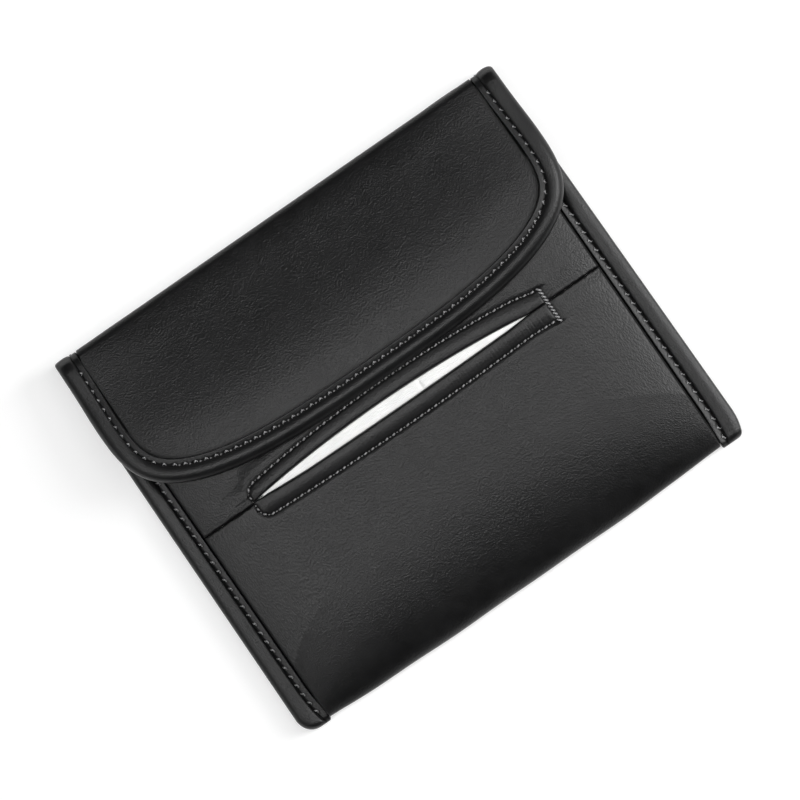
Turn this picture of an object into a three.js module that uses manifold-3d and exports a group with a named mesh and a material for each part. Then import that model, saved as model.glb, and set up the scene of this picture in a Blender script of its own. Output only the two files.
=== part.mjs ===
// Car tissue holder: a flat pouch of lined imitation leather, lying on its back.
// Millimetres. X runs across the holder, Y from its closed bottom to the fold at its top, Z out of its front.
// The origin is in the middle of the outline, on the surface that the holder lies on.
import * as THREE from 'three';
import { mergeVertices } from 'three/addons/utils/BufferGeometryUtils.js';
import Module from 'manifold-3d';

const wasm = await Module();
wasm.setup();

// Outline
const bodyHeight = 168.7;
const widthAtFold = 198.6;
const bottomFlare = 3.2;
const bottomSag = 1.5;
const cornerCut = 2.2;
const cornerTuckRun = 5;

// Thickness of the materials, and the room between them
const leather = 1.2;
const lining = 0.5;
const board = 1.2;
const tape = 1.2;
const band = 1.2;
const tissuePly = 0.5;
const layerGap = 0.1;
const bindingGap = 0.15;
const clearGap = 0.4;
const creaseGap = 0.2;

// Rise of the front above the surface it lies on
const frontHeight = 20;
const mouthHeight = 11.6;
const crownRun = 57;
const noseReach = 40;
const noseTuck = 12;
const noseHeightShare = 0.36;
const edgeReach = 2.3;

// Top fold
const foldRadius = 4;
const foldStep = 3.3;
const foldStepRun = 5;

// Bindings
const bindingWidth = 9.25;
const bindingRoll = 1.2;
const bindingInset = 3.4;
const bindingSeam = 2.6;
const cornerRadius = 6.5;
const rollShares = [0.55, 0.3, 0.1];
const hemShare = 0.8;
const seamShare = 0.6;
const edgeRiseShare = 0.3;

// Tissue slot and its lips
const seamDrop = 85.4;
const seamGap = 0.3;
const slotHalf = 63.2;
const slotEndRun = 3.6;
const slotRiseUp = 4;
const slotRiseDown = 1.4;
const lipWidth = 6.4;
const lipRoll = 1.3;
const lipCrown = 0.5;
const lipUnder = 4;
const lipSlant = 4.5;
const lipToFlap = 0.5;
const lipHemShare = 0.7;
const lipAcrossShares = [0.62, 0.3];
const lipRiseShare = 0.6;
const lipGripShares = [0.4, 0.6];
const lipEdgeShares = [0.35, 0.75];

// Flap
const flapBow = 40;
const flapDroop = 6;
const flapBoardRise = 2.4;
const flapBoardRamp = 10;
const outlinePower = 3;
const flapRollShare = 0.7;

// Boards, magnets, bands
const backBoardLow = 4;
const backBoardTop = 10;
const boardRamp = 4;
const frontBoardRise = 8;
const frontBoardHeight = 24;
const magnetRadius = 6;
const magnetThickness = 0.75;
const magnetInset = 47.3;
const boardEdge = 5.2;
const magnetGap = 0.3;
const holeDepthShare = 3;
const bandWidth = 25;
const bandSpacing = 104;
const bandEndMargin = 20;
const bandCorner = 2;

// Tissues
const stackTopDrop = 24;
const stackCorner = 4;
const sheetHalf = 46;
const sheetThicknessShare = 0.3;
const sheetProud = 1.2;
const sheetSink = 1.0;
const sheetShoulderShares = [0.7, 0.3];
const sheetCreaseShare = 1.3;

// Places that follow from the sizes
const foldY = bodyHeight / 2;
const noseY = -bodyHeight / 2;
const seamY = foldY - seamDrop;
const widthAtBottom = widthAtFold + bottomFlare;
const edgeX = widthAtFold / 2 - bindingWidth;
const magnetX = widthAtFold / 2 - magnetInset;
const frontBoardHalf = magnetX + magnetRadius + boardEdge;
const backZ = Math.max(band + layerGap, tape + bindingGap);
const liningDepth = leather + layerGap;
const innerDepth = liningDepth + lining;
const boardLift = board + layerGap;
const flangeTop = backZ + 2 * innerDepth + layerGap;
const stackDepth = Math.max(innerDepth + layerGap + tape, innerDepth + boardLift) + clearGap;
const crownStart = foldY - foldStep - foldRadius;
const slotEnd = slotHalf + slotEndRun;
const mouthInset = foldRadius + creaseGap;
const flapTipY = seamY + slotRiseUp + lipWidth + lipToFlap;
const flapHalf = widthAtFold / 2;
const flapSideY = flapTipY + layerGap + flapBow;
const flapBoardY = flapSideY + flapBoardRamp + flapBoardRise;
const foldZ = mouthHeight + clearGap + innerDepth;
const magnetY = flapTipY + frontBoardRise + frontBoardHeight / 2;
const backBoardLowY = noseY + noseTuck + backBoardLow;
const backBoardTopY = crownStart - backBoardTop;
const stackTopY = foldY - stackTopDrop;

const materials = {
  leather: new THREE.MeshStandardMaterial({ color: 0x2b2b2c, roughness: 0.55, metalness: 0 }),
  lining: new THREE.MeshStandardMaterial({ color: 0x1d1d1f, roughness: 0.9, metalness: 0 }),
  board: new THREE.MeshStandardMaterial({ color: 0x8b8069, roughness: 0.95, metalness: 0 }),
  magnet: new THREE.MeshStandardMaterial({ color: 0xb4b7ba, roughness: 0.35, metalness: 1 }),
  elastic: new THREE.MeshStandardMaterial({ color: 0x161617, roughness: 0.85, metalness: 0 }),
  tissue: new THREE.MeshStandardMaterial({ color: 0xf3f3f1, roughness: 0.95, metalness: 0 }),
};

const holder = new THREE.Group();

const mix = (a, b, share) => a + (b - a) * share;
const clamp01 = (value) => Math.min(1, Math.max(0, value));
const smooth = (value) => {
  const t = clamp01(value);
  return t * t * (3 - 2 * t);
};
const steps = (count, from = 0) => Array.from({ length: count + 1 - from }, (_, k) => (k + from) / count);
const radians = THREE.MathUtils.degToRad;

// Closed solids from points

function signedVolume(points, faces) {
  let volume = 0;
  for (const [a, b, c] of faces) {
    const [p, q, r] = [points[a], points[b], points[c]];
    volume += p[0] * (q[1] * r[2] - q[2] * r[1]);
    volume += p[1] * (q[2] * r[0] - q[0] * r[2]);
    volume += p[2] * (q[0] * r[1] - q[1] * r[0]);
  }
  return volume / 6;
}

function solidOf(points, faces) {
  const outward = signedVolume(points, faces) > 0;
  const turned = outward ? faces : faces.map(([a, b, c]) => [a, c, b]);
  const geometry = new THREE.BufferGeometry();
  geometry.setAttribute('position', new THREE.Float32BufferAttribute(points.flat(), 3));
  geometry.setIndex(turned.flat());
  return geometry;
}

// A sheet with a thickness: two grids of points, alike in rows and columns, joined round their rims.
// The diagonals are mirrored about the middle column, so that sheets on the same columns nest.
function sheetOf(outer, inner) {
  const rows = outer.length;
  const columns = outer[0].length;
  const [last, end] = [rows - 1, columns - 1];
  const points = [...outer.flat(), ...inner.flat()];
  const at = (side, row, column) => (side * rows + row) * columns + column;
  const faces = [];
  const quad = (a, b, c, d) => faces.push([a, b, c], [a, c, d]);
  for (let row = 0; row < last; row += 1) {
    for (let column = 0; column < end; column += 1) {
      const corners = [[row, column], [row, column + 1], [row + 1, column + 1], [row + 1, column]];
      if (column < end / 2) {
        corners.push(corners.shift());
      }
      quad(...corners.map(([r, c]) => at(0, r, c)));
      const [a, b, c, d] = corners.map(([r, k]) => at(1, r, k));
      quad(a, d, c, b);
    }
  }
  for (let column = 0; column < end; column += 1) {
    quad(at(0, 0, column + 1), at(0, 0, column), at(1, 0, column), at(1, 0, column + 1));
    quad(at(0, last, column), at(0, last, column + 1), at(1, last, column + 1), at(1, last, column));
  }
  for (let row = 0; row < last; row += 1) {
    quad(at(0, row, 0), at(0, row + 1, 0), at(1, row + 1, 0), at(1, row, 0));
    quad(at(0, row + 1, end), at(0, row, end), at(1, row, end), at(1, row + 1, end));
  }
  return solidOf(points, faces);
}

// A solid through a row of closed rings. Each end is capped by its own flat outline.
function loftOf(rings, firstOutline, lastOutline = firstOutline) {
  const count = rings[0].length;
  const points = rings.flat();
  const faces = [];
  for (let ring = 0; ring < rings.length - 1; ring += 1) {
    for (let k = 0; k < count; k += 1) {
      const next = (k + 1) % count;
      const [a, b] = [ring * count + k, ring * count + next];
      const [c, d] = [b + count, a + count];
      faces.push([a, b, c], [a, c, d]);
    }
  }
  const cap = (outline, start, reversed) => {
    const flat = outline.map(([x, y]) => new THREE.Vector2(x, y));
    const outlineTurn = Math.sign(THREE.ShapeUtils.area(flat));
    for (const face of THREE.ShapeUtils.triangulateShape(flat, [])) {
      const turn = Math.sign(THREE.ShapeUtils.area(face.map((k) => flat[k])));
      const [a, b, c] = face.map((k) => start + k);
      faces.push((turn === outlineTurn) === reversed ? [a, c, b] : [a, b, c]);
    }
  };
  cap(firstOutline, 0, true);
  cap(lastOutline, (rings.length - 1) * count, false);
  return solidOf(points, faces);
}

function manifoldOf(geometry) {
  const bare = geometry.clone();
  bare.deleteAttribute('normal');
  bare.deleteAttribute('uv');
  const merged = mergeVertices(bare);
  return new wasm.Manifold(new wasm.Mesh({
    numProp: 3,
    vertProperties: new Float32Array(merged.attributes.position.array),
    triVerts: new Uint32Array(merged.index.array),
  }));
}

function cutFrom(geometry, tools) {
  const cut = tools.reduce((solid, tool) => solid.subtract(manifoldOf(tool)), manifoldOf(geometry));
  const mesh = cut.getMesh();
  const result = new THREE.BufferGeometry();
  result.setAttribute('position', new THREE.Float32BufferAttribute(mesh.vertProperties, mesh.numProp));
  result.setIndex(new THREE.Uint32BufferAttribute(mesh.triVerts, 1));
  return result;
}

function add(name, geometry, material) {
  const mesh = new THREE.Mesh(geometry, materials[material]);
  mesh.name = name;
  holder.add(mesh);
  return mesh;
}

// Form of the body

const halfWidthAt = (y) => mix(widthAtBottom, widthAtFold, clamp01((y - noseY) / bodyHeight)) / 2;
const crownAt = (y) => smooth((crownStart - y) / crownRun);
const crownZ = (y) => mix(mouthHeight, frontHeight, crownAt(y));
const foldOuterY = (x) => foldY - foldStep * smooth((Math.abs(x) - edgeX + foldStepRun) / foldStepRun);

// The front swells from the flat edge under the binding: steep beside the binding, flat across the middle.
function bulge(x, depth) {
  const share = Math.abs(x) / (edgeX - depth);
  return share < 1 ? Math.sqrt(1 - share ** 4) : 0;
}
const frontZ = (x, y, depth) => flangeTop - depth + (crownZ(y) - flangeTop) * bulge(x, depth);

// Columns that every wide sheet shares: across the slot, up to the binding, and flat under the binding
const slotShares = steps(4, 1);
const sideShares = steps(5, 1).map((share) => (share < 1 ? Math.sin(share * Math.PI / 2) : 1));
const flangeShares = [0.5, 1];
const halfColumns = [
  ...slotShares.map((share) => ({ zone: 'slot', share })),
  { zone: 'slotEnd', share: 1 },
  ...sideShares.map((share) => ({ zone: 'side', share })),
  ...flangeShares.map((share) => ({ zone: 'flange', share })),
];
const columns = [
  ...halfColumns.map((column) => ({ ...column, sign: -1 })).reverse(),
  { zone: 'slot', share: 0, sign: 1 },
  ...halfColumns.map((column) => ({ ...column, sign: 1 })),
];

function columnX(column, depth, y) {
  const inner = edgeX - depth;
  const flangeEnd = halfWidthAt(y) - bindingInset;
  const reach = {
    slot: slotHalf * column.share,
    slotEnd,
    side: mix(slotEnd, inner, column.share),
    flange: mix(inner, flangeEnd, column.share),
  };
  return column.sign * reach[column.zone];
}

// Edge of the leather along the cross seam and round the slot: 1 above the seam, -1 below it
function slotEdgeY(x, side) {
  const far = Math.abs(x);
  const rise = side > 0 ? slotRiseUp : slotRiseDown;
  const open = rise * (1 - (far / slotHalf) ** 2) + lipRoll;
  const closing = lipRoll * (slotEnd - far) / slotEndRun;
  return seamY + side * (seamGap / 2 + Math.max(0, far < slotHalf ? open : closing));
}

// A point on a bend of the top fold. Angles are measured from +Y towards +Z.
function foldPoint(x, centreZ, angle, depth) {
  const radius = foldRadius - depth;
  return [x, foldOuterY(x) - foldRadius + radius * Math.cos(angle), centreZ + radius * Math.sin(angle)];
}
const lowBendZ = backZ + foldRadius;
const highBendZ = foldZ - foldRadius;
const creaseTurn = creaseGap / foldRadius;

// Wrap: lower front, round the closed bottom, along the back to the first crease

const isLast = (column, zone) => column.zone === zone && column.share === 1;

function bottomY(column, depth) {
  const far = Math.min(Math.abs(columnX(column, 0, noseY)), edgeX);
  const tucked = bindingInset * smooth((far - edgeX + cornerTuckRun) / cornerTuckRun);
  return noseY + bottomSag * (far / edgeX) ** 4 + tucked + (isLast(column, 'flange') ? cornerCut : 0) + depth;
}

function wrapRows(depth, lift) {
  const top = (column, y) => {
    const x = columnX(column, depth, y);
    return [x, y, column.zone === 'flange' ? flangeTop - depth : frontZ(x, y, depth)];
  };
  const full = (column) => bulge(columnX(column, depth, noseY), depth) * (column.zone === 'flange' ? 0 : 1);
  const reachOf = (column, reach) => mix(edgeReach, reach, full(column)) - depth;
  const frontEnd = (column) => bottomY(column, depth) + reachOf(column, noseReach);
  const backStart = (column) => bottomY(column, depth) + reachOf(column, noseTuck);
  const noseZ = (column) => {
    const z = top(column, frontEnd(column))[2];
    return mix(backZ + depth, z, mix(1 / 2, noseHeightShare, full(column)));
  };
  const front = steps(4).map((share) => (column) => {
    const edge = slotEdgeY(columnX(column, depth, seamY), -1);
    return top(column, mix(edge, frontEnd(column), share));
  });
  const noseFront = steps(5, 1).map((share) => (column) => {
    const angle = share * Math.PI / 2;
    const y = bottomY(column, depth) + reachOf(column, noseReach) * (1 - Math.sin(angle));
    const [x, , z] = top(column, frontEnd(column));
    return [x, y, mix(noseZ(column), z, Math.cos(angle))];
  });
  const noseBack = steps(3, 1).map((share) => (column) => {
    const angle = share * Math.PI / 2;
    const y = bottomY(column, depth) + reachOf(column, noseTuck) * (1 - Math.cos(angle));
    return [columnX(column, depth, y), y, mix(noseZ(column), backZ + depth, Math.sin(angle))];
  });
  const lifted = (column) => (['slot', 'slotEnd'].includes(column.zone)
    || (column.zone === 'side' && column.share <= sideShares[1]) ? lift : 0);
  const backYs = [[backBoardLowY, 1], [backBoardTopY, 1], [backBoardTopY + boardRamp, 0]];
  const back = backYs.map(([y, up]) => (column) => {
    const placed = Math.max(y, backStart(column) + layerGap);
    return [columnX(column, 0, placed), placed, backZ + depth + lifted(column) * up];
  });
  const bendAngles = [-Math.PI / 2, radians(-67.5), -Math.PI / 4 - creaseTurn];
  const bend = bendAngles.map((angle) => (column) => (
    foldPoint(columnX(column, 0, foldY), lowBendZ, angle, depth)
  ));
  return [...front, ...noseFront, ...noseBack, ...back, ...bend].map((row) => columns.map(row));
}

add('outer_wrap', sheetOf(wrapRows(0, 0), wrapRows(leather, 0)), 'leather');
add('lining_wrap', sheetOf(wrapRows(liningDepth, boardLift), wrapRows(innerDepth, boardLift)), 'lining');

// Flat pieces on the back

function flatPlate(halfWidth, lowY, highY, corner, thickness, lowZ) {
  const shape = new THREE.Shape();
  shape.moveTo(-halfWidth + corner, lowY);
  shape.lineTo(halfWidth - corner, lowY);
  shape.absarc(halfWidth - corner, lowY + corner, corner, -Math.PI / 2, 0);
  shape.lineTo(halfWidth, highY - corner);
  shape.absarc(halfWidth - corner, highY - corner, corner, 0, Math.PI / 2);
  shape.lineTo(-halfWidth + corner, highY);
  shape.absarc(-halfWidth + corner, highY - corner, corner, Math.PI / 2, Math.PI);
  shape.lineTo(-halfWidth, lowY + corner);
  shape.absarc(-halfWidth + corner, lowY + corner, corner, Math.PI, 3 * Math.PI / 2);
  const plate = new THREE.ExtrudeGeometry(shape, { depth: thickness, bevelEnabled: false, curveSegments: 4 });
  plate.translate(0, 0, lowZ);
  return plate;
}

const backBoardHalf = mix(slotEnd, edgeX, sideShares[1]) - clearGap;
const backBoardZ = backZ + liningDepth;
add('back_board', flatPlate(backBoardHalf, backBoardLowY, backBoardTopY, stackCorner, board, backBoardZ), 'board');

const bandLowY = noseY + noseTuck + bandEndMargin;
const bandTopY = crownStart - bandEndMargin;
for (const [side, sign] of [['left', -1], ['right', 1]]) {
  const strip = flatPlate(bandWidth / 2, bandLowY, bandTopY, bandCorner, band, 0);
  const mesh = add(`elastic_band_${side}`, strip, 'elastic');
  mesh.position.x = sign * bandSpacing / 2;
}

// Upper front: leather, the board that carries its magnets, and lining

const frontBoardLow = flapTipY + frontBoardRise;
const frontBoardHigh = frontBoardLow + frontBoardHeight;
const frontBoardYs = steps(4).map((share) => mix(frontBoardLow, frontBoardHigh, share));

const columnReaches = columns.map((column) => columnX(column, 0, seamY));
const boardCoverX = Math.min(...columnReaches.filter((x) => x >= frontBoardHalf));

function upperRows(depth, lift) {
  const mouthOf = (x) => foldOuterY(x) - mouthInset;
  const highest = crownStart - mouthInset;
  const fixed = [
    [flapTipY, 0], [frontBoardLow - boardRamp, 0], ...frontBoardYs.map((y) => [y, 1]),
    [frontBoardHigh + boardRamp, 0],
  ];
  const rest = steps(3, 1).map((share) => [mix(frontBoardHigh + boardRamp, highest, share), 0]);
  const point = (column, y, up) => {
    const x = columnX(column, depth, y);
    const sunk = Math.abs(columnX(column, 0, y)) <= boardCoverX ? lift * up : 0;
    return [x, y, column.zone === 'flange' ? flangeTop - depth : frontZ(x, y, depth + sunk)];
  };
  const first = columns.map((column) => point(column, slotEdgeY(columnX(column, depth, seamY), 1), 0));
  const middle = [...fixed, ...rest].map(([y, up]) => columns.map((column) => point(column, y, up)));
  const last = columns.map((column) => point(column, mouthOf(columnX(column, 0, foldY)), 0));
  return [first, ...middle, last];
}

add('front_upper_panel', sheetOf(upperRows(0, 0), upperRows(leather, 0)), 'leather');
add('front_upper_lining', sheetOf(
  upperRows(liningDepth, boardLift),
  upperRows(innerDepth, boardLift),
), 'lining');

// Height of a nested sheet between two of the shared columns
function sheetZ(x, y, depth) {
  const right = columns.findIndex((column) => columnX(column, depth, y) >= x);
  const [a, b] = [columns[right - 1], columns[right]].map((column) => columnX(column, depth, y));
  return mix(frontZ(a, y, depth), frontZ(b, y, depth), (x - a) / (b - a));
}

function frontBoard() {
  const within = columnReaches.filter((x) => Math.abs(x) < frontBoardHalf - layerGap);
  const xs = [-frontBoardHalf, ...within, frontBoardHalf];
  const rowsAt = (depth) => frontBoardYs.map((y) => xs.map((x) => [x, y, sheetZ(x, y, depth)]));
  return sheetOf(rowsAt(liningDepth), rowsAt(liningDepth + board));
}

// Magnets lie in round holes of the two boards, square to the surface there.
function discAt(surface, x, y, radius, thickness) {
  const step = magnetRadius / 2;
  const slopeX = (surface(x + step, y) - surface(x - step, y)) / (2 * step);
  const slopeY = (surface(x, y + step) - surface(x, y - step)) / (2 * step);
  const normal = new THREE.Vector3(-slopeX, -slopeY, 1).normalize();
  const disc = new THREE.CylinderGeometry(radius, radius, thickness, 24);
  disc.applyQuaternion(new THREE.Quaternion().setFromUnitVectors(new THREE.Vector3(0, 1, 0), normal));
  disc.translate(x, y, surface(x, y));
  return disc;
}

function addMagnetBoard(boardName, magnetName, boardSolid, surface) {
  const places = [['left', -magnetX], ['right', magnetX]];
  const [holeRadius, holeDepth] = [magnetRadius + magnetGap, board * holeDepthShare];
  const holes = places.map(([, x]) => discAt(surface, x, magnetY, holeRadius, holeDepth));
  add(boardName, cutFrom(boardSolid, holes), 'board');
  for (const [side, x] of places) {
    add(`${magnetName}_${side}`, discAt(surface, x, magnetY, magnetRadius, magnetThickness), 'magnet');
  }
}

const frontBoardMiddle = (x, y) => frontZ(x, y, liningDepth + board / 2);
addMagnetBoard('front_board', 'front_magnet', frontBoard(), frontBoardMiddle);

// Lips of the slot: a folded strip round the edge of leather and lining, above and below the opening

function lipRing(x, side) {
  const share = Math.abs(x) / slotEnd;
  const leatherY = slotEdgeY(x, side);
  const roll = Math.abs(leatherY - seamY) - seamGap / 2;
  const grip = Math.min(roll, lipRoll);
  const edgeY = leatherY - side * grip;
  const top = layerGap + tape;
  const [slope, crest] = lipAcrossShares.map((part) => lipWidth * part);
  const [aboveEdge, belowEdge] = lipGripShares.map((part) => grip * part);
  const [edgeHigh, edgeLow] = lipEdgeShares.map((part) => -innerDepth * part);
  const profile = [
    [lipWidth, layerGap], [lipWidth, layerGap + tape * lipHemShare], [slope, top],
    [crest, top + lipCrown], [aboveEdge, top * lipRiseShare], [0, edgeHigh],
    [0, edgeLow], [belowEdge, -innerDepth - top], [lipUnder, -innerDepth - top],
    [lipUnder, -innerDepth - layerGap], [grip + layerGap, -innerDepth - layerGap], [grip + layerGap, layerGap],
  ];
  const inner = [10, 11];
  return profile.map(([across, height], k) => {
    const placed = inner.includes(k) ? grip - layerGap : across;
    const drawn = x * (1 - (lipSlant / slotEnd) * share ** 6 * (placed / lipWidth));
    const z = frontZ(drawn, seamY, Math.max(0, -height)) + Math.max(0, height);
    return { across: placed, height, point: [drawn, edgeY + side * placed, z] };
  });
}

function lip(side) {
  const reach = slotEnd - 3 * layerGap - seamGap;
  const half = [...slotShares.map((share) => share * slotHalf), reach];
  const stations = [...half.map((x) => -x).reverse(), 0, ...half];
  const rings = stations.map((x) => lipRing(x, side));
  const outlineOf = (ring) => ring.map(({ across, height }) => [across, height]);
  return loftOf(rings.map((ring) => ring.map(({ point }) => point)), outlineOf(rings[0]));
}

add('slot_lip_upper', lip(1), 'leather');
add('slot_lip_lower', lip(-1), 'leather');

// Bindings: a folded strip round the edge of the layers.
// place(across, side, lift) gives the point that lies across millimetres in from the outer edge,
// and lift millimetres off the outer face (side 1) or the inner face (side -1) of the layers.
function bindingRing(place, width, thickness, channel, roll) {
  const [near, crest, far] = rollShares;
  const top = bindingGap + tape;
  const seam = Math.max(width - bindingSeam, width * seamShare);
  const profile = [
    [width, 1, bindingGap], [width, 1, bindingGap + tape * hemShare], [seam, 1, top],
    [width * near, 1, top + roll * hemShare], [width * crest, 1, top + roll], [width * far, 1, top * edgeRiseShare],
    [0, 1, -thickness / 2], [width * far, -1, top * edgeRiseShare], [width * crest, -1, top],
    [seam, -1, top], [width, -1, top],
    [width, -1, bindingGap], [channel, -1, bindingGap], [channel, 1, bindingGap],
  ];
  return {
    ring: profile.map(([across, side, lift]) => place(across, side, lift)),
    outline: profile.map(([across, side, lift]) => [across, side * (thickness / 2 + lift)]),
  };
}

function bindingOf(rings) {
  return loftOf(rings.map(({ ring }) => ring), rings[0].outline, rings.at(-1).outline);
}

const channelInset = bindingInset - layerGap;
const innerEdge = edgeX + clearGap;

function sideBinding(sign) {
  const bottom = noseY + bottomSag;
  const capTop = bottom + bindingInset - clearGap;
  const topEnd = crownStart - mouthInset;
  const cornerYs = steps(4).map((share) => bottom + cornerRadius * (1 - Math.cos(share * Math.PI / 2)));
  const below = cornerYs.filter((y) => y < capTop - layerGap);
  const above = cornerYs.filter((y) => y > capTop + layerGap);
  const straight = steps(3, 1).map((share) => mix(bottom + cornerRadius, topEnd, share));
  const stations = [
    ...below.map((y) => [y, false]), [capTop - layerGap, false], [capTop, true],
    ...above.map((y) => [y, true]), ...straight.map((y) => [y, true]),
  ];
  const rings = stations.map(([y, open]) => {
    const inCorner = clamp01((bottom + cornerRadius - y) / cornerRadius);
    const outer = halfWidthAt(y) - cornerRadius * (1 - Math.sqrt(1 - inCorner ** 2));
    const width = outer - innerEdge;
    const place = (across, side, lift) => [
      sign * (outer - across), y, side > 0 ? flangeTop + lift : backZ - lift,
    ];
    const channel = open ? outer - halfWidthAt(y) + channelInset : width - layerGap;
    return bindingRing(place, width, flangeTop - backZ, channel, bindingRoll);
  });
  return bindingOf(rings);
}

add('side_binding_left', sideBinding(-1), 'leather');
add('side_binding_right', sideBinding(1), 'leather');

// Strip over the top edge, between the two creases

const spineStations = [
  [lowBendZ, -Math.PI / 4 + creaseTurn], [lowBendZ, -Math.PI / 8], [lowBendZ, 0],
  [highBendZ, 0], [highBendZ, Math.PI / 8], [highBendZ, Math.PI / 4 - creaseTurn],
];

const spineColumns = columns.filter((column) => column.zone !== 'slot' || column.share === 0);

function spineRows(depth) {
  return spineStations.map(([centreZ, angle]) => spineColumns.map((column) => (
    foldPoint(columnX(column, 0, foldY), centreZ, angle, depth)
  )));
}

add('spine_panel', sheetOf(spineRows(0), spineRows(leather)), 'leather');
add('spine_lining', sheetOf(spineRows(liningDepth), spineRows(innerDepth)), 'lining');

function spineBinding(sign) {
  const outer = widthAtFold / 2;
  const rings = spineStations.map(([centreZ, angle]) => {
    const place = (across, side, lift) => {
      const depth = side > 0 ? -lift : innerDepth + lift;
      const [, y, z] = foldPoint(outer, centreZ, angle, depth);
      return [sign * (outer - across), y, z];
    };
    return bindingRing(place, outer - innerEdge, innerDepth, channelInset, bindingRoll);
  });
  return bindingOf(rings);
}

add('spine_binding_left', spineBinding(-1), 'leather');
add('spine_binding_right', spineBinding(1), 'leather');

// Flap: lining, board with magnets, leather, and the binding round its edge

const flapUnder = (x, y) => crownZ(y) + clearGap + (tape + bindingGap) * crownAt(y)
  - flapDroop * crownAt(y) * (Math.abs(x) / flapHalf) ** 4;
const flapThickness = (y) => innerDepth + boardLift * clamp01((flapBoardY - y) / flapBoardRamp);
const flapBendY = (x) => foldOuterY(x) - foldRadius;

function flapEdgeY(x, inset) {
  const share = clamp01(Math.abs(x) / (flapHalf - inset));
  return flapSideY - (flapBow - inset) * (1 - share ** outlinePower) ** (1 / outlinePower);
}

const flapShares = steps(7);

function flapRows(levelAt, depth) {
  const level = (x, y) => [x, y, flapUnder(x, y) + levelAt(y)];
  const lower = flapShares.map((share) => (x) => level(x, mix(flapEdgeY(x, bindingInset), flapSideY + layerGap, share)));
  const upper = [flapBoardY - flapBoardRamp, flapBoardY].map((y) => (x) => level(x, y));
  const bend = [Math.PI / 2, radians(67.5), Math.PI / 4 + creaseTurn].map((angle) => (x) => (
    foldPoint(x, highBendZ, angle, depth)
  ));
  return [...lower, ...upper, ...bend].map((row) => columns.map((column) => row(columnX(column, 0, foldY))));
}

add('flap_panel', sheetOf(
  flapRows((y) => flapThickness(y), 0),
  flapRows((y) => flapThickness(y) - leather, leather),
), 'leather');
add('flap_lining', sheetOf(flapRows(() => lining, liningDepth), flapRows(() => 0, innerDepth)), 'lining');

function flapBoard() {
  const rowsAt = (level) => {
    const lower = flapShares.map((share) => (x) => mix(flapEdgeY(x, bindingInset), flapSideY + layerGap, share));
    const rows = [...lower, () => flapBoardY - flapBoardRamp];
    return rows.map((yOf) => columns.map((column) => {
      const x = columnX(column, 0, foldY);
      return [x, yOf(x), flapUnder(x, yOf(x)) + level];
    }));
  };
  return sheetOf(rowsAt(lining + layerGap + board), rowsAt(lining + layerGap));
}

const flapBoardMiddle = (x, y) => flapUnder(x, y) + lining + layerGap + board / 2;
addMagnetBoard('flap_board', 'flap_magnet', flapBoard(), flapBoardMiddle);

// The flap's outline: down one side, round the bowed bottom and up the other side
function flapOutline() {
  const bow = steps(36).map((share) => {
    const angle = Math.PI * share;
    const across = -Math.sign(Math.cos(angle)) * Math.abs(Math.cos(angle)) ** (2 / outlinePower);
    const down = Math.sin(angle) ** (2 / outlinePower);
    return [flapHalf * across, flapSideY - flapBow * down];
  });
  const top = flapBendY(flapHalf);
  const sideYs = [top, flapBoardY, flapBoardY - flapBoardRamp];
  const left = sideYs.map((y) => [-flapHalf, y]);
  const right = sideYs.map((y) => [flapHalf, y]).reverse();
  return [...left, ...bow, ...right];
}

function flapBinding() {
  const outline = flapOutline();
  const width = flapHalf - innerEdge + clearGap;
  const rings = outline.map(([x, y], k) => {
    const [ax, ay] = outline[Math.max(0, k - 1)];
    const [bx, by] = outline[Math.min(outline.length - 1, k + 1)];
    const length = Math.hypot(bx - ax, by - ay);
    const inward = [-(by - ay) / length, (bx - ax) / length];
    const place = (across, side, lift) => {
      const [px, py] = [x + inward[0] * across, y + inward[1] * across];
      const under = flapUnder(px, py);
      return [px, py, side > 0 ? under + flapThickness(py) + lift : under - lift];
    };
    return bindingRing(place, width, flapThickness(y), channelInset, bindingRoll * flapRollShare);
  });
  return bindingOf(rings);
}

add('flap_binding', flapBinding(), 'leather');

// Tissues: the pack, and the fold of the sheet that stands ready in the slot

const slotMiddleY = (x) => seamY + (slotRiseUp - slotRiseDown) / 2 * (1 - (x / slotHalf) ** 2);
const foldThickness = (slotRiseUp + slotRiseDown) * sheetThicknessShare;

function sheetRing(x, grow) {
  const share = 1 - (x / (sheetHalf + grow)) ** 2;
  const half = mix(tissuePly + layerGap, foldThickness, share) + grow;
  const middle = slotMiddleY(x);
  const high = frontZ(x, middle, stackDepth - sheetProud) + grow;
  const low = backZ + stackDepth + sheetSink - grow;
  return { middle, half, high, low };
}

function foldedSheet() {
  const rings = steps(12).map((share) => {
    const x = mix(-sheetHalf, sheetHalf, share);
    const { middle, half, high, low } = sheetRing(x, 0);
    const inner = half - tissuePly;
    const [across, down] = sheetShoulderShares.map((part) => half * part);
    const profile = [
      [-half, low], [-half, high - half], [-across, high - down], [0, high], [across, high - down],
      [half, high - half], [half, low], [inner, low], [inner, high - half], [0, high - tissuePly * sheetCreaseShare],
      [-inner, high - half], [-inner, low],
    ];
    return { ring: profile.map(([dy, z]) => [x, middle + dy, z]), outline: profile };
  });
  return bindingOf(rings);
}

function sheetRoom() {
  const reach = sheetHalf + clearGap;
  const rings = steps(12).map((share) => {
    const x = mix(-reach, reach, share);
    const { middle, half, high, low } = sheetRing(x, clearGap);
    const profile = [[-half, low], [-half, high + stackDepth], [half, high + stackDepth], [half, low]];
    return { ring: profile.map(([dy, z]) => [x, middle + dy, z]), outline: profile };
  });
  return bindingOf(rings);
}

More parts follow.
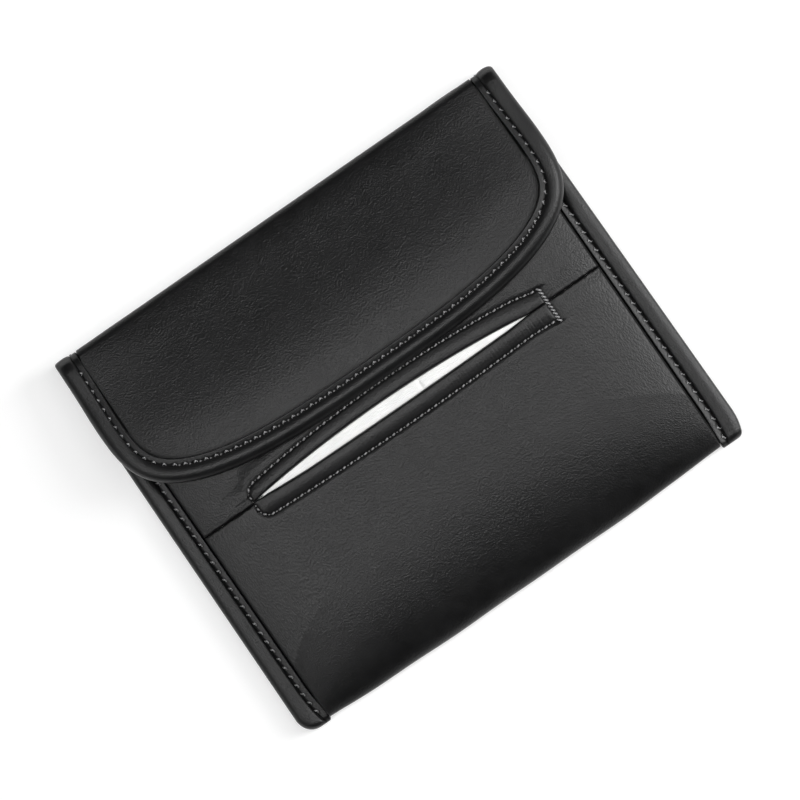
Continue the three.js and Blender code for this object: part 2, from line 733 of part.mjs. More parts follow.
function tissuePack() {
  const inner = columns.filter((column) => column.zone !== 'flange' && column.share < sideShares.at(-2) + layerGap);
  const rings = inner.map((column) => {
    const x = columnX(column, stackDepth, seamY);
    const full = bulge(x, stackDepth);
    const low = bottomY(column, stackDepth);
    const reach = mix(edgeReach, noseReach, full);
    const tuck = mix(edgeReach, noseTuck, full);
    const bottomZ = backZ + stackDepth;
    const topZ = frontZ(x, seamY, stackDepth);
    const noseZ = mix(bottomZ, topZ, noseHeightShare);
    const profile = [
      [stackTopY, bottomZ],
      ...steps(5).map((share) => {
        const y = mix(stackTopY, crownStart - crownRun, share);
        return [y, frontZ(x, y, stackDepth)];
      }),
      ...steps(4).map((share) => {
        const angle = share * Math.PI / 2;
        return [low + reach * (1 - Math.sin(angle)), mix(noseZ, topZ, Math.cos(angle))];
      }),
      ...steps(2, 1).map((share) => {
        const angle = share * Math.PI / 2;
        return [low + tuck * (1 - Math.cos(angle)), mix(noseZ, bottomZ, Math.sin(angle))];
      }),
    ];
    return { ring: profile.map(([y, z]) => [x, y, z]), outline: profile };
  });
  return cutFrom(bindingOf(rings), [sheetRoom()]);
}

add('tissue_pack', tissuePack(), 'tissue');
add('tissue_sheet', foldedSheet(), 'tissue');

export default holder;
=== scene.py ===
# Car tissue holder: a flat pouch of lined black imitation leather, lying on its back.
# The solids give the frame. Shapes are worked out in millimetres, and MM turns them into metres.
import math

import bpy
import numpy as np
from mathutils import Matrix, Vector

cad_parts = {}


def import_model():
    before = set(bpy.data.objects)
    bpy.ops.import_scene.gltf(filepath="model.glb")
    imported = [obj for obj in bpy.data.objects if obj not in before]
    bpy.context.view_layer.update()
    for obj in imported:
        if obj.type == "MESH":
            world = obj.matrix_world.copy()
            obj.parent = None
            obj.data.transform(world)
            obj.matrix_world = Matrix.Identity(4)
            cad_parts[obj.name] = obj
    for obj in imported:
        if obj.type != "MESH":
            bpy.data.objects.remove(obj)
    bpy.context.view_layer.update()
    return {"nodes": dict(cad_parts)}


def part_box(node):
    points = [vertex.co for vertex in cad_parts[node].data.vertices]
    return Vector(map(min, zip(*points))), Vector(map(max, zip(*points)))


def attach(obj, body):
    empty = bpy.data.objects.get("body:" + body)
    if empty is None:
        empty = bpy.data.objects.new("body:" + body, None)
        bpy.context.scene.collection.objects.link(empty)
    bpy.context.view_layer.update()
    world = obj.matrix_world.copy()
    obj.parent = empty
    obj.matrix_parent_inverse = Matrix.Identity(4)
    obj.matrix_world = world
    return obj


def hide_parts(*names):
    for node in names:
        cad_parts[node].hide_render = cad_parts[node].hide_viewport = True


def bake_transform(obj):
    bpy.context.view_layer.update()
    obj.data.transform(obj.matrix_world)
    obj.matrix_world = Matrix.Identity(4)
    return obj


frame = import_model()

MM = 0.001
TURN = 2 * math.pi
QUARTER = math.pi / 2


def box_mm(node):
    low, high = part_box(node)
    return np.array(low) / MM, np.array(high) / MM


# Layers
LEATHER = 1.2
LINING = 0.5
BOARD = 1.2
LAYER_GAP = 0.1
CLEAR = 0.4
TAPE = 1.2
BINDING_GAP = 0.15
LINING_DEPTH = LEATHER + LAYER_GAP
INNER_DEPTH = LINING_DEPTH + LINING
BOARD_LIFT = BOARD + LAYER_GAP
STACK_DEPTH = INNER_DEPTH + BOARD_LIFT + CLEAR

# Outline and front
FOLD_Y = box_mm("spine_panel")[1][1]
NOSE_Y = box_mm("outer_wrap")[0][1]
BACK_Z = box_mm("outer_wrap")[0][2]
FRONT_HEIGHT = box_mm("outer_wrap")[1][2]
FLANGE_TOP = BACK_Z + 2 * INNER_DEPTH + LAYER_GAP
BOTTOM_FLARE = 3.2
BOTTOM_SAG = 1.5
CORNER_TUCK = 0.9
WALL_SHARE = 0.45
WALL_RUN = 1.3
MOUTH_HEIGHT = 11.6
CROWN_RUN = 61.4
CROWN_LIFT = 1.9
NOSE_REACH = 47
NOSE_EASE = 0.9
NOSE_TUCK = 12
NOSE_HEIGHT_SHARE = 0.36
EDGE_REACH = 2.3

# Top fold
FOLD_RADIUS = 4
FOLD_STEP = 1.3
FOLD_STEP_RUN = 0.6
FOLD_TILT = 0.28
FOLD_BASE = FOLD_Y - FOLD_RADIUS - 0.9
FOLD_PRESS = 0.5
CREASE_GAP = 0.2
CREASE_REACH = 1.3

# Bindings and their seams
FLAP_HALF = box_mm("flap_binding")[1][0]
BINDING_WIDTH = 9.25
BINDING_INSET = 3.4
BINDING_ROLL = 1.2
ROLL_CREST = 3.5
SEAM_INSET = 2.6
HEM_EDGE = 0.3
CORNER_RADIUS = 7.4

# Slot and its lips
SEAM_DROP = 85.4
SEAM_GAP = 0.3
UNDER_GAP = 0.04
SLOT_HALF = 63.2
SLOT_END_RUN = 3.6
SLOT_RISE_UP = 4
SLOT_RISE_DOWN = 1.4
LIP_ROLL = 1.3
LIP_WIDTH = 6.7
LIP_LOW = -0.45
LIP_HIGH = 0.95
LIP_TURN_Z = -0.9
LIP_FOOT_Z = -2.9
LEFT_TURN = 2.6
RIGHT_TURN = 1.2

# Flap
FLAP_SIDE_Y = 49.95
FLAP_BOW = 40
FLAP_DROOP = 6
FLAP_BELLY = 0.8
FLAP_BOARD_Y = 72
FLAP_BOARD_RAMP = 34
OUTLINE_POWER = 3

# Places that follow from these
EDGE_X = FLAP_HALF - BINDING_WIDTH
INNER_EDGE = EDGE_X + CLEAR
SEAM_Y = FOLD_Y - SEAM_DROP
SLOT_END = SLOT_HALF + SLOT_END_RUN
CROWN_START = FOLD_Y - FOLD_RADIUS * (1 - math.sin(FOLD_TILT))
MOUTH_Y = box_mm("side_binding_left")[1][1]
FOLD_Z = MOUTH_HEIGHT + CLEAR + INNER_DEPTH
LOW_BEND_Z = BACK_Z + FOLD_RADIUS
HIGH_BEND_Z = FOLD_Z - FOLD_RADIUS * math.cos(FOLD_TILT)
MID_Z = (LOW_BEND_Z + HIGH_BEND_Z) / 2
TAPE_TOP = BINDING_GAP + TAPE

# The bar of stitches at the slot's right end, and how far it goes up and down from the cross seam
BAR_X = SLOT_END - 0.8
BAR_ENDS = (6.2, -9.0)


# Sums that the shapes share

even = np.linspace  # steps from one value to another


def mix(a, b, share):
    return a + (b - a) * share


def clip(value):
    return np.clip(value, 0, 1)


def smooth(value):
    t = clip(value)
    return t * t * (3 - 2 * t)


def hump(distance, reach):
    return np.exp(-(distance / reach) ** 2)


def rounded(share):
    """0 to 1 along a quarter circle, steepest at its end."""
    return 1 - np.sqrt(1 - share ** 2)


def swollen(share):
    """0 to 1, rising quickly at first and flat at its end."""
    return 1 - (1 - clip(share)) ** 2


def quarter(count):
    """Even angles over a quarter of a turn."""
    return even(0, QUARTER, count)


def unit(vectors):
    return vectors / np.maximum(np.linalg.norm(vectors, axis=-1, keepdims=True), 1e-9)


def join(*parts):
    return np.concatenate(parts)


def stack(*parts):
    """Numbers or arrays side by side, as the coordinates of points."""
    return np.stack(np.broadcast_arrays(*parts), axis=-1)


def waves(x, y, length, seed, count=6):
    """Soft uneven waves from -1 to 1: a few sines in seeded directions."""
    random = np.random.default_rng(seed)
    total = 0
    for _ in range(count):
        angle, phase = random.uniform(0, TURN, 2)
        step = length * random.uniform(0.6, 1.6)
        total = total + np.sin(TURN * (x * math.cos(angle) + y * math.sin(angle)) / step + phase)
    return total / count * 1.6


# Form of the pouch and the flap

def half_width(y):
    return FLAP_HALF + BOTTOM_FLARE / 2 * (1 - clip((y - NOSE_Y) / (FOLD_Y - NOSE_Y)))


def crown(y):
    """0 at the mouth, rising quickly at first, to 1 over the middle of the front."""
    share = clip((CROWN_START - y) / CROWN_RUN)
    return smooth(share) + CROWN_LIFT * share * (1 - share) ** 3


def crown_z(y):
    return mix(MOUTH_HEIGHT, FRONT_HEIGHT, crown(y))


def fold_y(x):
    return FOLD_Y - FOLD_STEP * smooth((abs(x) - EDGE_X + FOLD_STEP_RUN) / FOLD_STEP_RUN)


def bulge(x, depth):
    """1 in the middle, falling softly towards the sides and then quickly down beside the binding."""
    reach = EDGE_X - depth
    share = clip(abs(x) / reach)
    soft = WALL_SHARE + (1 - WALL_SHARE) * (1 - share ** 3.2) ** 0.9
    wall = clip((abs(x) - reach + WALL_RUN) / WALL_RUN)
    return soft * np.sqrt(1 - wall ** 3)


def front_z(x, y, depth):
    return FLANGE_TOP - depth + (crown_z(y) - FLANGE_TOP) * bulge(x, depth)


def bottom_y(x, depth):
    far = np.minimum(abs(x), EDGE_X)
    tucked = BINDING_INSET * smooth((far - EDGE_X + CORNER_TUCK) / CORNER_TUCK)
    return NOSE_Y + BOTTOM_SAG * (far / EDGE_X) ** 4 + tucked + depth


def slot_edge_y(x, side, gap=SEAM_GAP):
    far = abs(x)
    rise = SLOT_RISE_UP if side > 0 else SLOT_RISE_DOWN
    opened = rise * (1 - (far / SLOT_HALF) ** 2) + LIP_ROLL
    closing = LIP_ROLL * (SLOT_END - far) / SLOT_END_RUN
    return SEAM_Y + side * (gap / 2 + np.maximum(0, np.where(far < SLOT_HALF, opened, closing)))


def flap_under(x, y):
    droop = FLAP_DROOP * crown(y) * (abs(x) / FLAP_HALF) ** 4
    return crown_z(y) + CLEAR + TAPE_TOP * crown(y) - droop


def flap_thickness(y):
    return INNER_DEPTH + BOARD_LIFT * smooth((FLAP_BOARD_Y - y) / FLAP_BOARD_RAMP)


def flap_edge_y(x, inset):
    share = clip(abs(x) / (FLAP_HALF - inset))
    return FLAP_SIDE_Y - (FLAP_BOW - inset) * (1 - share ** OUTLINE_POWER) ** (1 / OUTLINE_POWER)


# Columns that every wide sheet shares: close together towards the sides, then flat under the binding
SWELL_COLUMNS = 110
FLANGE_COLUMNS = 4
COLUMNS = np.arange(-SWELL_COLUMNS - FLANGE_COLUMNS, SWELL_COLUMNS + FLANGE_COLUMNS + 1)
SIGN = np.sign(COLUMNS)
FLAT = abs(COLUMNS) > SWELL_COLUMNS
SHARE = np.where(
    FLAT,
    (abs(COLUMNS) - SWELL_COLUMNS) / FLANGE_COLUMNS,
    np.sin(QUARTER * abs(COLUMNS) / SWELL_COLUMNS),
)

# Rows of the wrap, from the slot to the bottom
FRONT_ROWS = 72
NOSE_ROWS = 45


def column_x(depth, y):
    inner = EDGE_X - depth
    reach = np.where(FLAT, mix(inner, half_width(y) - BINDING_INSET, SHARE), inner * SHARE)
    return SIGN * reach


def arc_row(depth, centre_z, angle):
    """One row of points on a bend of the top fold. The angle runs from +Y towards +Z."""
    x = column_x(0, FOLD_Y)
    radius = FOLD_RADIUS - depth
    y = fold_y(x) - FOLD_RADIUS + radius * math.cos(angle)
    return stack(x, y, centre_z + radius * math.sin(angle))


def sewn_edge(depth, side):
    """Edge of the leather at the cross seam and the slot. Its under side comes closer to the seam."""
    return slot_edge_y(column_x(depth, SEAM_Y), side, SEAM_GAP if depth == 0 else UNDER_GAP)


def no_lift(x, y):
    return 0


def wrap_grid(depth, back_lift=no_lift):
    """Lower front, closed bottom, back and the lower half of the top strip, as rows of points."""
    full = bulge(column_x(depth, NOSE_Y), depth)
    bottom = bottom_y(column_x(0, NOSE_Y), depth)
    front_end = bottom + mix(EDGE_REACH, NOSE_REACH, full) - depth
    back_start = bottom + mix(EDGE_REACH, NOSE_TUCK, full) - depth
    edge = sewn_edge(depth, -1)
    x_end = column_x(depth, front_end)
    z_end = front_z(x_end, front_end, depth)
    nose_z = mix(BACK_Z + depth, z_end, mix(1 / 2, NOSE_HEIGHT_SHARE, full))

    def front_row(share):
        y = mix(edge, front_end, share ** 1.7)
        x = column_x(depth, y)
        return stack(x, y, front_z(x, y, depth))

    def nose_row(angle):
        y = bottom + (front_end - bottom) * (1 - math.sin(angle) ** NOSE_EASE)
        return stack(x_end, y, mix(nose_z, z_end, math.cos(angle) ** NOSE_EASE))

    def tuck_row(angle):
        y = bottom + (back_start - bottom) * (1 - math.cos(angle))
        return stack(column_x(depth, y), y, mix(nose_z, BACK_Z + depth, math.sin(angle)))

    def back_row(share):
        y = mix(back_start, fold_y(column_x(0, FOLD_Y)) - FOLD_RADIUS, share)
        x = column_x(0, y)
        return stack(x, y, BACK_Z + depth + back_lift(x, y))

    return join(
        [front_row(share) for share in even(0, 1, FRONT_ROWS)],
        [nose_row(angle) for angle in quarter(NOSE_ROWS + 1)[1:]],
        [tuck_row(angle) for angle in quarter(18)[1:]],
        [back_row(share) for share in even(0, 1, 84)[1:]],
        [arc_row(depth, LOW_BEND_Z, angle) for angle in -quarter(13)[-2::-1]],
        [arc_row(depth, z, 0) for z in even(LOW_BEND_Z, MID_Z, 4)[1:]],
    )


def upper_front_grid(depth, lift=no_lift):
    """Front above the cross seam, up to the mouth."""
    edge = sewn_edge(depth, 1)
    mouth = fold_y(column_x(0, FOLD_Y)) - FOLD_RADIUS - CREASE_GAP

    def row(share):
        y = mix(edge, mouth, share ** 1.5)
        x = column_x(depth, y)
        return stack(x, y, front_z(x, y, depth + lift(x, y)))

    return join([row(share) for share in even(0, 1, 100)])


def flap_grid(depth, level):
    """Upper half of the top strip, over the second crease and down to the flap's lower edge."""
    x = column_x(0, FOLD_Y)
    low = flap_edge_y(x, BINDING_INSET)
    high = fold_y(x) - FOLD_RADIUS + (FOLD_RADIUS - depth) * math.sin(FOLD_TILT)

    def row(share):
        y = mix(high, low, share)
        return stack(x, y, flap_under(x, y) + level(y))

    return join(
        [arc_row(depth, z, 0) for z in even(MID_Z, HIGH_BEND_Z, 4)[:-1]],
        [arc_row(depth, HIGH_BEND_Z, angle) for angle in even(0, QUARTER - FOLD_TILT, 16)],
        [row(share) for share in even(0, 1, 110)[1:]],
    )


# Meshes from grids of points

def grid_normals(grid, wrap=False):
    along = np.gradient(grid, axis=0)
    if wrap:
        across = (np.roll(grid, -1, axis=1) - np.roll(grid, 1, axis=1)) / 2
    else:
        across = np.gradient(grid, axis=1)
    return unit(np.cross(along, across))


def lengths(grid, axis):
    """Distance along each line of the grid, from its start."""
    steps = np.linalg.norm(np.diff(grid, axis=axis), axis=-1)
    padding = [(1, 0) if k == axis else (0, 0) for k in range(2)]
    return np.pad(np.cumsum(steps, axis=axis), padding)


def grid_uv(grid):
    across = lengths(grid, 1)
    across = across - across[:, across.shape[1] // 2, None]
    return stack(across, lengths(grid, 0)[:, grid.shape[1] // 2, None]) * MM


def quads_of(rows, columns, wrap=False):
    index = np.arange(rows * columns).reshape(rows, columns)
    if wrap:
        index = np.concatenate([index, index[:, :1]], axis=1)
    corners = index[:-1, :-1], index[:-1, 1:], index[1:, 1:], index[1:, :-1]
    return np.stack(corners, axis=-1).reshape(-1, 4)


def signed_volume(points, faces):
    a, b, c, d = (points[faces[:, k]] for k in range(4))
    return (np.einsum("ij,ij->", a, np.cross(b, c)) + np.einsum("ij,ij->", a, np.cross(c, d))) / 6


def placed(name, data, place=(0, 0, 0), turn=(0, 0, 0)):
    made = bpy.data.objects.new(name, data)
    made.location = place
    made.rotation_euler = turn
    bpy.context.scene.collection.objects.link(made)
    return made


def make_piece(name, points, quads, material, uv, caps=(), **values):
    """A smooth mesh with a flow map in metres and, by name, values at its points for the materials."""
    loops = join(quads.ravel(), *caps)
    sizes = join(np.full(len(quads), 4), [len(cap) for cap in caps]).astype(int)
    mesh = bpy.data.meshes.new(name)
    mesh.vertices.add(len(points))
    mesh.vertices.foreach_set("co", (points * MM).ravel())
    mesh.loops.add(len(loops))
    mesh.loops.foreach_set("vertex_index", loops)
    mesh.polygons.add(len(sizes))
    mesh.polygons.foreach_set("loop_start", np.cumsum(sizes) - sizes)
    mesh.polygons.foreach_set("use_smooth", np.ones(len(sizes), bool))
    mesh.update(calc_edges=True)
    mesh.uv_layers.new(name="Flow").data.foreach_set("uv", uv[loops].ravel())
    for key, value in values.items():
        mesh.attributes.new(key, "FLOAT", "POINT").data.foreach_set("value", value.astype(np.float32).ravel())
    mesh.materials.append(material)
    return placed(name, mesh)


def make_shell(name, outer, inner, material, **values):
    """A sheet with a thickness, closed round its rim."""
    rows, columns = outer.shape[:2]
    count = rows * columns
    points = join(outer.reshape(-1, 3), inner.reshape(-1, 3))
    front = quads_of(rows, columns)
    index = np.arange(count).reshape(rows, columns)
    rim = join(index[0, :-1], index[:-1, -1], index[-1, :0:-1], index[:0:-1, 0])
    ahead = np.roll(rim, -1)
    quads = join(front, front[:, ::-1] + count, stack(ahead, rim, rim + count, ahead + count))
    if signed_volume(points, quads) < 0:
        quads = quads[:, ::-1]
    uv = np.tile(grid_uv(outer).reshape(-1, 2), (2, 1))
    doubled = {key: np.tile(value.ravel(), 2) for key, value in values.items()}
    return make_piece(name, points, quads, material, uv, **doubled)


def make_loft(name, grid, material, **values):
    """A closed solid through a row of closed rings."""
    rows, columns = grid.shape[:2]
    points = grid.reshape(-1, 3)
    quads = quads_of(rows, columns, wrap=True)
    caps = [np.arange(columns)[::-1], (rows - 1) * columns + np.arange(columns)]
    if signed_volume(points, quads) < 0:
        quads = quads[:, ::-1]
        caps = [cap[::-1] for cap in caps]
    return make_piece(name, points, quads, material, grid_uv(grid).reshape(-1, 2), caps, **values)


def read_at(at, run, values):
    """The values of a line's points, at the distances asked for."""
    return stack(*(np.interp(at, run, part) for part in values.T))


def resample(line, step, offset):
    """Points along a line at even steps, with the directions there."""
    run = lengths(line[None], 1)[0]
    count = int(run[-1] // step)
    at = (np.arange(count) + offset) * run[-1] / count
    return read_at(at, run, line), unit(read_at(at, run, np.gradient(line, axis=0)))


def nearest(points, x, y):
    """Distance in the plane from each (x, y) to the nearest of the points."""
    best = np.inf
    for px, py in points:
        best = np.minimum(best, (x - px) ** 2 + (y - py) ** 2)
    return np.sqrt(best)


# Sewing: each stitch is a short slanted length of two-ply thread that dives into the leather at both ends
BINDING_PITCH = 4.0
LIP_PITCH = 3.15
STITCH_LENGTH = 1.9
STITCH_RINGS = 15
THREAD_SIDES = 8
THREAD_RADIUS = 0.2
THREAD_TWIST = 1.1
TWIST_START = 0.1
STRAND = 0.2
PLY_OFFSET = 0.18
THREAD_RISE = 0.38
HOLE_DEPTH = 0.7
UP = np.array([0.0, 0.0, 1.0])


def stitch_ends(line, normals, pitch=BINDING_PITCH, slant=0.5, length=STITCH_LENGTH, offset=0.5):
    """Where each stitch starts and ends, and the way up there. The slant is a tangent to the seam."""
    centres, way = resample(line, pitch, offset)
    closest = [int(np.argmin(np.linalg.norm(line - centre, axis=1))) for centre in centres]
    up = np.broadcast_to(normals, line.shape)[closest]
    half = unit(way + np.cross(up, way) * slant) * length / 2
    return centres - half, centres + half, up


def make_stitches(name, seams):
    """Two plies of thread for each stitch. A seam is its stitches' starts, ends and ways up."""
    starts, ends, up = (join(*parts)[:, None] for parts in zip(*seams))
    along = even(0, 1, STITCH_RINGS)
    aside = np.cross(up, unit(ends - starts))

    def about(angle):
        return np.cos(angle)[:, None] * aside + np.sin(angle)[:, None] * up

    rise = (HOLE_DEPTH + THREAD_RISE) * np.sin(math.pi * along) ** 0.5 - HOLE_DEPTH
    middle = starts + (ends - starts) * along[:, None] + up * rise[:, None]
    ring = THREAD_RADIUS * about(TURN * np.arange(THREAD_SIDES) / THREAD_SIDES)[:, None]
    tubes = []
    for ply in (0, 1):
        centre = middle + PLY_OFFSET * about(TURN * (THREAD_TWIST * along + ply / 2 + TWIST_START))
        tubes.append(centre[:, :, None] + ring)
    points = join(*tubes).reshape(-1, 3)
    size = STITCH_RINGS * THREAD_SIDES
    count = len(points) // size
    quads = quads_of(STITCH_RINGS, THREAD_SIDES, wrap=True)[:, ::-1] + np.arange(count)[:, None, None] * size
    uv = stack(np.arange(THREAD_SIDES) * STRAND, along[:, None] * STITCH_LENGTH) * MM
    uv = np.tile(uv.reshape(-1, 2), (count, 1))
    piece = make_piece(name, points, quads.reshape(-1, 4), THREAD_LOOK, uv)
    return piece


def pressed(grid, normals, holes, depth, reach):
    """The grid with a dimple at each hole, and how deep each point lies in one, from 0 to 1."""
    amount = np.zeros(grid.shape[:2])
    for hole in holes:
        amount = np.maximum(amount, hump(np.linalg.norm(grid - hole, axis=-1), reach))
    return grid - normals * (amount * depth)[..., None], amount


# Materials. Sizes of grain and yarns are in millimetres

BANDS_PER_UNIT = 3.18


class Look:
    """The nodes of one material, on the flow map of a sheet or in the space of a solid."""

    def __init__(self, name, solid=False):
        self.material = bpy.data.materials.new(name)
        self.material.use_nodes = True
        self.nodes = self.material.node_tree.nodes
        self.link = self.material.node_tree.links.new
        self.shader = self.nodes["Principled BSDF"].inputs
        if solid:
            self.place = self.node("TexCoord").outputs["Object"]
        else:
            self.place = self.node("UVMap", uv_map="Flow").outputs[0]

    def node(self, kind, **settings):
        made = self.nodes.new("ShaderNode" + kind)
        for key, value in settings.items():
            if key in made.inputs:
                made.inputs[key].default_value = value
            else:
                setattr(made, key, value)
        return made

    def texture(self, kind, output="Fac", place=None, **settings):
        made = self.node("Tex" + kind, **settings)
        self.link(place or self.place, made.inputs["Vector"])
        return made.outputs[output]

    def noise(self, size, detail=3.0, rough=0.55):
        return self.texture("Noise", Scale=1 / (size * MM), Detail=detail, Roughness=rough)

    def drawn_noise(self, sizes, detail):
        """Noise with a size of its own along each axis."""
        mapping = self.node("Mapping", Scale=[1 / (size * MM) for size in sizes])
        self.link(self.place, mapping.inputs[0])
        return self.texture("Noise", place=mapping.outputs[0], Scale=1.0, Detail=detail, Roughness=0.55)

    def wave(self, direction, pitch, distortion, **settings):
        scale = 1 / (pitch * MM) / BANDS_PER_UNIT
        return self.texture("Wave", bands_direction=direction, Scale=scale, Distortion=distortion, **settings)

    def calculate(self, operation, *terms):
        made = self.node("Math", operation=operation)
        for socket, term in zip(made.inputs, terms):
            if isinstance(term, (int, float)):
                socket.default_value = term
            else:
                self.link(term, socket)
        return made.outputs[0]

    def total(self, *terms, base=0.0):
        """The sum of a base and of values, each times its weight."""
        for value, weight in reversed(terms):
            base = self.calculate("MULTIPLY_ADD", value, weight, base)
        return base

    def ramp(self, value, low, high, start=0.0, end=1.0):
        limits = {"From Min": start, "From Max": end, "To Min": low, "To Max": high}
        made = self.node("MapRange", **limits)
        self.link(value, made.inputs["Value"])
        return made.outputs["Result"]

    def tint(self, factor, low, high):
        made = self.node("Mix", data_type="RGBA")
        made.inputs["A"].default_value = (*low, 1)
        made.inputs["B"].default_value = (*high, 1)
        self.link(factor, made.inputs["Factor"])
        self.link(made.outputs["Result"], self.shader["Base Color"])

    def relief(self, height, depth):
        made = self.node("Bump", Strength=1.0, Distance=depth * MM)
        self.link(height, made.inputs["Height"])
        self.link(made.outputs["Normal"], self.shader["Normal"])

    def rough(self, value):
        self.link(value, self.shader["Roughness"])

    def plain(self, **values):
        for key, value in values.items():
            self.shader[key.replace("_", " ")].default_value = value


def leather_material(name, grain, depth):
    """Fine pebbled grain and faint creases; duller where a seam presses it in, and darkened there as painted
    shade.
    """
    look = Look(name)
    pebble = look.texture("Voronoi", "Distance", feature="SMOOTH_F1", Scale=1 / (grain * MM), Smoothness=0.6)
    fine = look.noise(0.45 * grain, 4)
    soft = look.noise(22)
    worn = look.noise(6, 4)
    creases = look.drawn_noise((7, 1.6, 1000), 3)
    # Mask of seams and stitch dimples: it darkens the colour there as painted shade, and also makes the
    # leather duller.
    pit = look.node("Attribute", attribute_name="pit").outputs["Fac"]
    shade = look.total((soft, 0.55), (worn, 0.45), (pit, -0.75))
    look.tint(look.ramp(shade, 0, 1, 0.3, 0.75), (0.004, 0.004, 0.0042), (0.009, 0.009, 0.0093))
    look.rough(look.total((worn, 0.12), (fine, 0.10), (pit, 0.3), base=0.25))
    look.relief(look.total((pebble, 0.9), (fine, 0.35), (creases, 0.35)), depth)
    look.plain(Specular_IOR_Level=0.29)
    return look.material


def cloth_material():
    """A plain weave of dull yarns with a little fuzz."""
    look = Look("lining_cloth")
    detail = {"Detail": 1.5, "Detail Scale": 2}
    weave = look.calculate("MULTIPLY", *(look.wave(way, 0.5, 0.6, **detail) for way in ("X", "Y")))
    fuzz = look.noise(0.35, 4)
    look.tint(look.total((weave, 0.6), (look.noise(14), 0.5)), (0.006, 0.006, 0.0065), (0.022, 0.022, 0.023))
    look.rough(look.ramp(fuzz, 0.78, 0.96))
    look.relief(look.total((fuzz, 0.3), (weave, 1.0)), 0.12)
    look.plain(Sheen_Weight=0.08, Specular_IOR_Level=0.3)
    return look.material


def elastic_material():
    """Ribbed band: ribs run along it, fine crosswise yarns between them."""
    look = Look("elastic")
    yarns = look.wave("Y", 0.9, 1.2)
    fuzz = look.noise(0.4, 4)
    look.tint(look.total((yarns, 0.5), (fuzz, 0.5)), (0.004, 0.004, 0.005), (0.018, 0.018, 0.019))
    look.rough(look.ramp(fuzz, 0.6, 0.9))
    look.relief(look.total((fuzz, 0.4), (yarns, 1.0)), 0.15)
    look.plain(Sheen_Weight=0.1)
    return look.material


def thread_material():
    """Waxed black thread, striped along its twist; the lighter grey of the stripes is a painted highlight for
    its sheen.
    """
    look = Look("thread")
    twist_and_sheen = look.wave("DIAGONAL", 0.5, 1.0)
    fuzz = look.noise(0.3)
    # The grey bands along the twist are painted highlight; the thread itself is near black.
    look.tint(look.total((twist_and_sheen, 0.6), (fuzz, 0.5)), (0.10, 0.10, 0.102), (0.52, 0.52, 0.525))
    look.rough(look.ramp(fuzz, 0.28, 0.5))
    look.relief(twist_and_sheen, 0.06)
    return look.material


def tissue_material():
    """Soft creped paper."""
    look = Look("tissue")
    crepe = look.wave("X", 0.8, 6, Detail=3.0)
    fibre = look.noise(0.5, 5, 0.65)
    look.tint(look.total((look.noise(12), 0.5), (fibre, 0.5)), (0.84, 0.84, 0.83), (0.93, 0.93, 0.92))
    look.rough(look.ramp(fibre, 0.85, 1.0))
    look.relief(look.total((fibre, 0.8), (crepe, 1.0)), 0.08)
    look.plain(Specular_IOR_Level=0.2)
    return look.material


def board_material():
    """Grey-brown pressed board with flecks."""
    look = Look("pressed_board", solid=True)
    fibre = look.drawn_noise((3, 0.6, 0.6), 5)
    look.tint(look.total((fibre, 0.7), (look.noise(1.4, 2), 0.4)), (0.12, 0.10, 0.075), (0.34, 0.29, 0.21))
    look.rough(look.ramp(fibre, 0.85, 1.0))
    look.relief(fibre, 0.1)
    return look.material


def magnet_material():
    """Nickel plating with fine scratches and dull spots."""
    look = Look("nickel_plate", solid=True)
    scratch = look.drawn_noise((4, 0.15, 4), 4)
    spot = look.noise(2.5, 4)
    look.tint(spot, (0.40, 0.40, 0.39), (0.60, 0.60, 0.58))
    look.rough(look.total((scratch, 0.2), (spot, 0.15), base=0.1))
    look.relief(scratch, 0.01)
    look.plain(Metallic=1.0)
    return look.material


LEATHER_LOOK = leather_material("soft_leather", 0.62, 0.115)
BINDING_LOOK = leather_material("binding_leather", 0.55, 0.07)
LINING_LOOK = cloth_material()
ELASTIC_LOOK = elastic_material()
THREAD_LOOK = thread_material()
TISSUE_LOOK = tissue_material()
BOARD_LOOK = board_material()


# Creases of the top fold, each halfway round its bend

BEND_SIDE = FOLD_RADIUS * math.sin(math.pi / 4)
HINGE_Y = FOLD_Y - FOLD_RADIUS + BEND_SIDE


def crease_ends(z, lean):
    """Below and above a crease at this height, in metres."""
    dy, dz = lean * 0.6 * CREASE_REACH, 0.8 * CREASE_REACH
    return (0, (HINGE_Y - dy) * MM, (z - dz) * MM), (0, (HINGE_Y + dy) * MM, (z + dz) * MM)


def over_low_crease(piece):
    """Bakes the piece's placement into its mesh and finds the ends of the crease where the top strip leaves
    the back.
    """
    start, end = crease_ends(LOW_BEND_Z - BEND_SIDE, 1)
    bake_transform(piece)
    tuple(start)
    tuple(end)


def over_high_crease(piece):
    """Bakes the piece's placement into its mesh and finds the ends of the crease where the flap leaves the
    top strip.
    """
    start, end = crease_ends(HIGH_BEND_Z + BEND_SIDE, -1)
    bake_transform(piece)
    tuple(start)
    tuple(end)


# Leather of the front: it dips into its seams and lies a little uneven

WELT_DIP = 0.55
UNDER_LIP = 0.95
BAR_DIP = 0.5
CROSS_DIP = 0.8
VALLEY_DIP = 0.7
UNEVEN = 0.15
UNEVEN_FINE = 0.025
TUG = 0.12


def lip_rim_y(x, side):
    """Outer edge of a lip, where it is sewn to the front, with its rounded corners."""
    radius = np.where(x < 0, LEFT_TURN, RIGHT_TURN)
    turn = clip((abs(x) - SLOT_END) / radius + 1)
    middle = slot_edge_y(np.minimum(x, SLOT_HALF), side) + side * (LIP_WIDTH - LIP_ROLL)
    return middle - 0.9 * smooth((x - 52) / 14) - side * radius * rounded(turn)


def lip_columns(count):
    """Places along the slot, closer together round the corners."""
    curve = 1 - np.cos(quarter(14)[:-1])
    straight = even(-SLOT_END + LEFT_TURN, SLOT_END - RIGHT_TURN, count)
    return join(-SLOT_END + LEFT_TURN * curve, straight, SLOT_END - RIGHT_TURN * curve[::-1])


SEAM_END_POINTS = 7


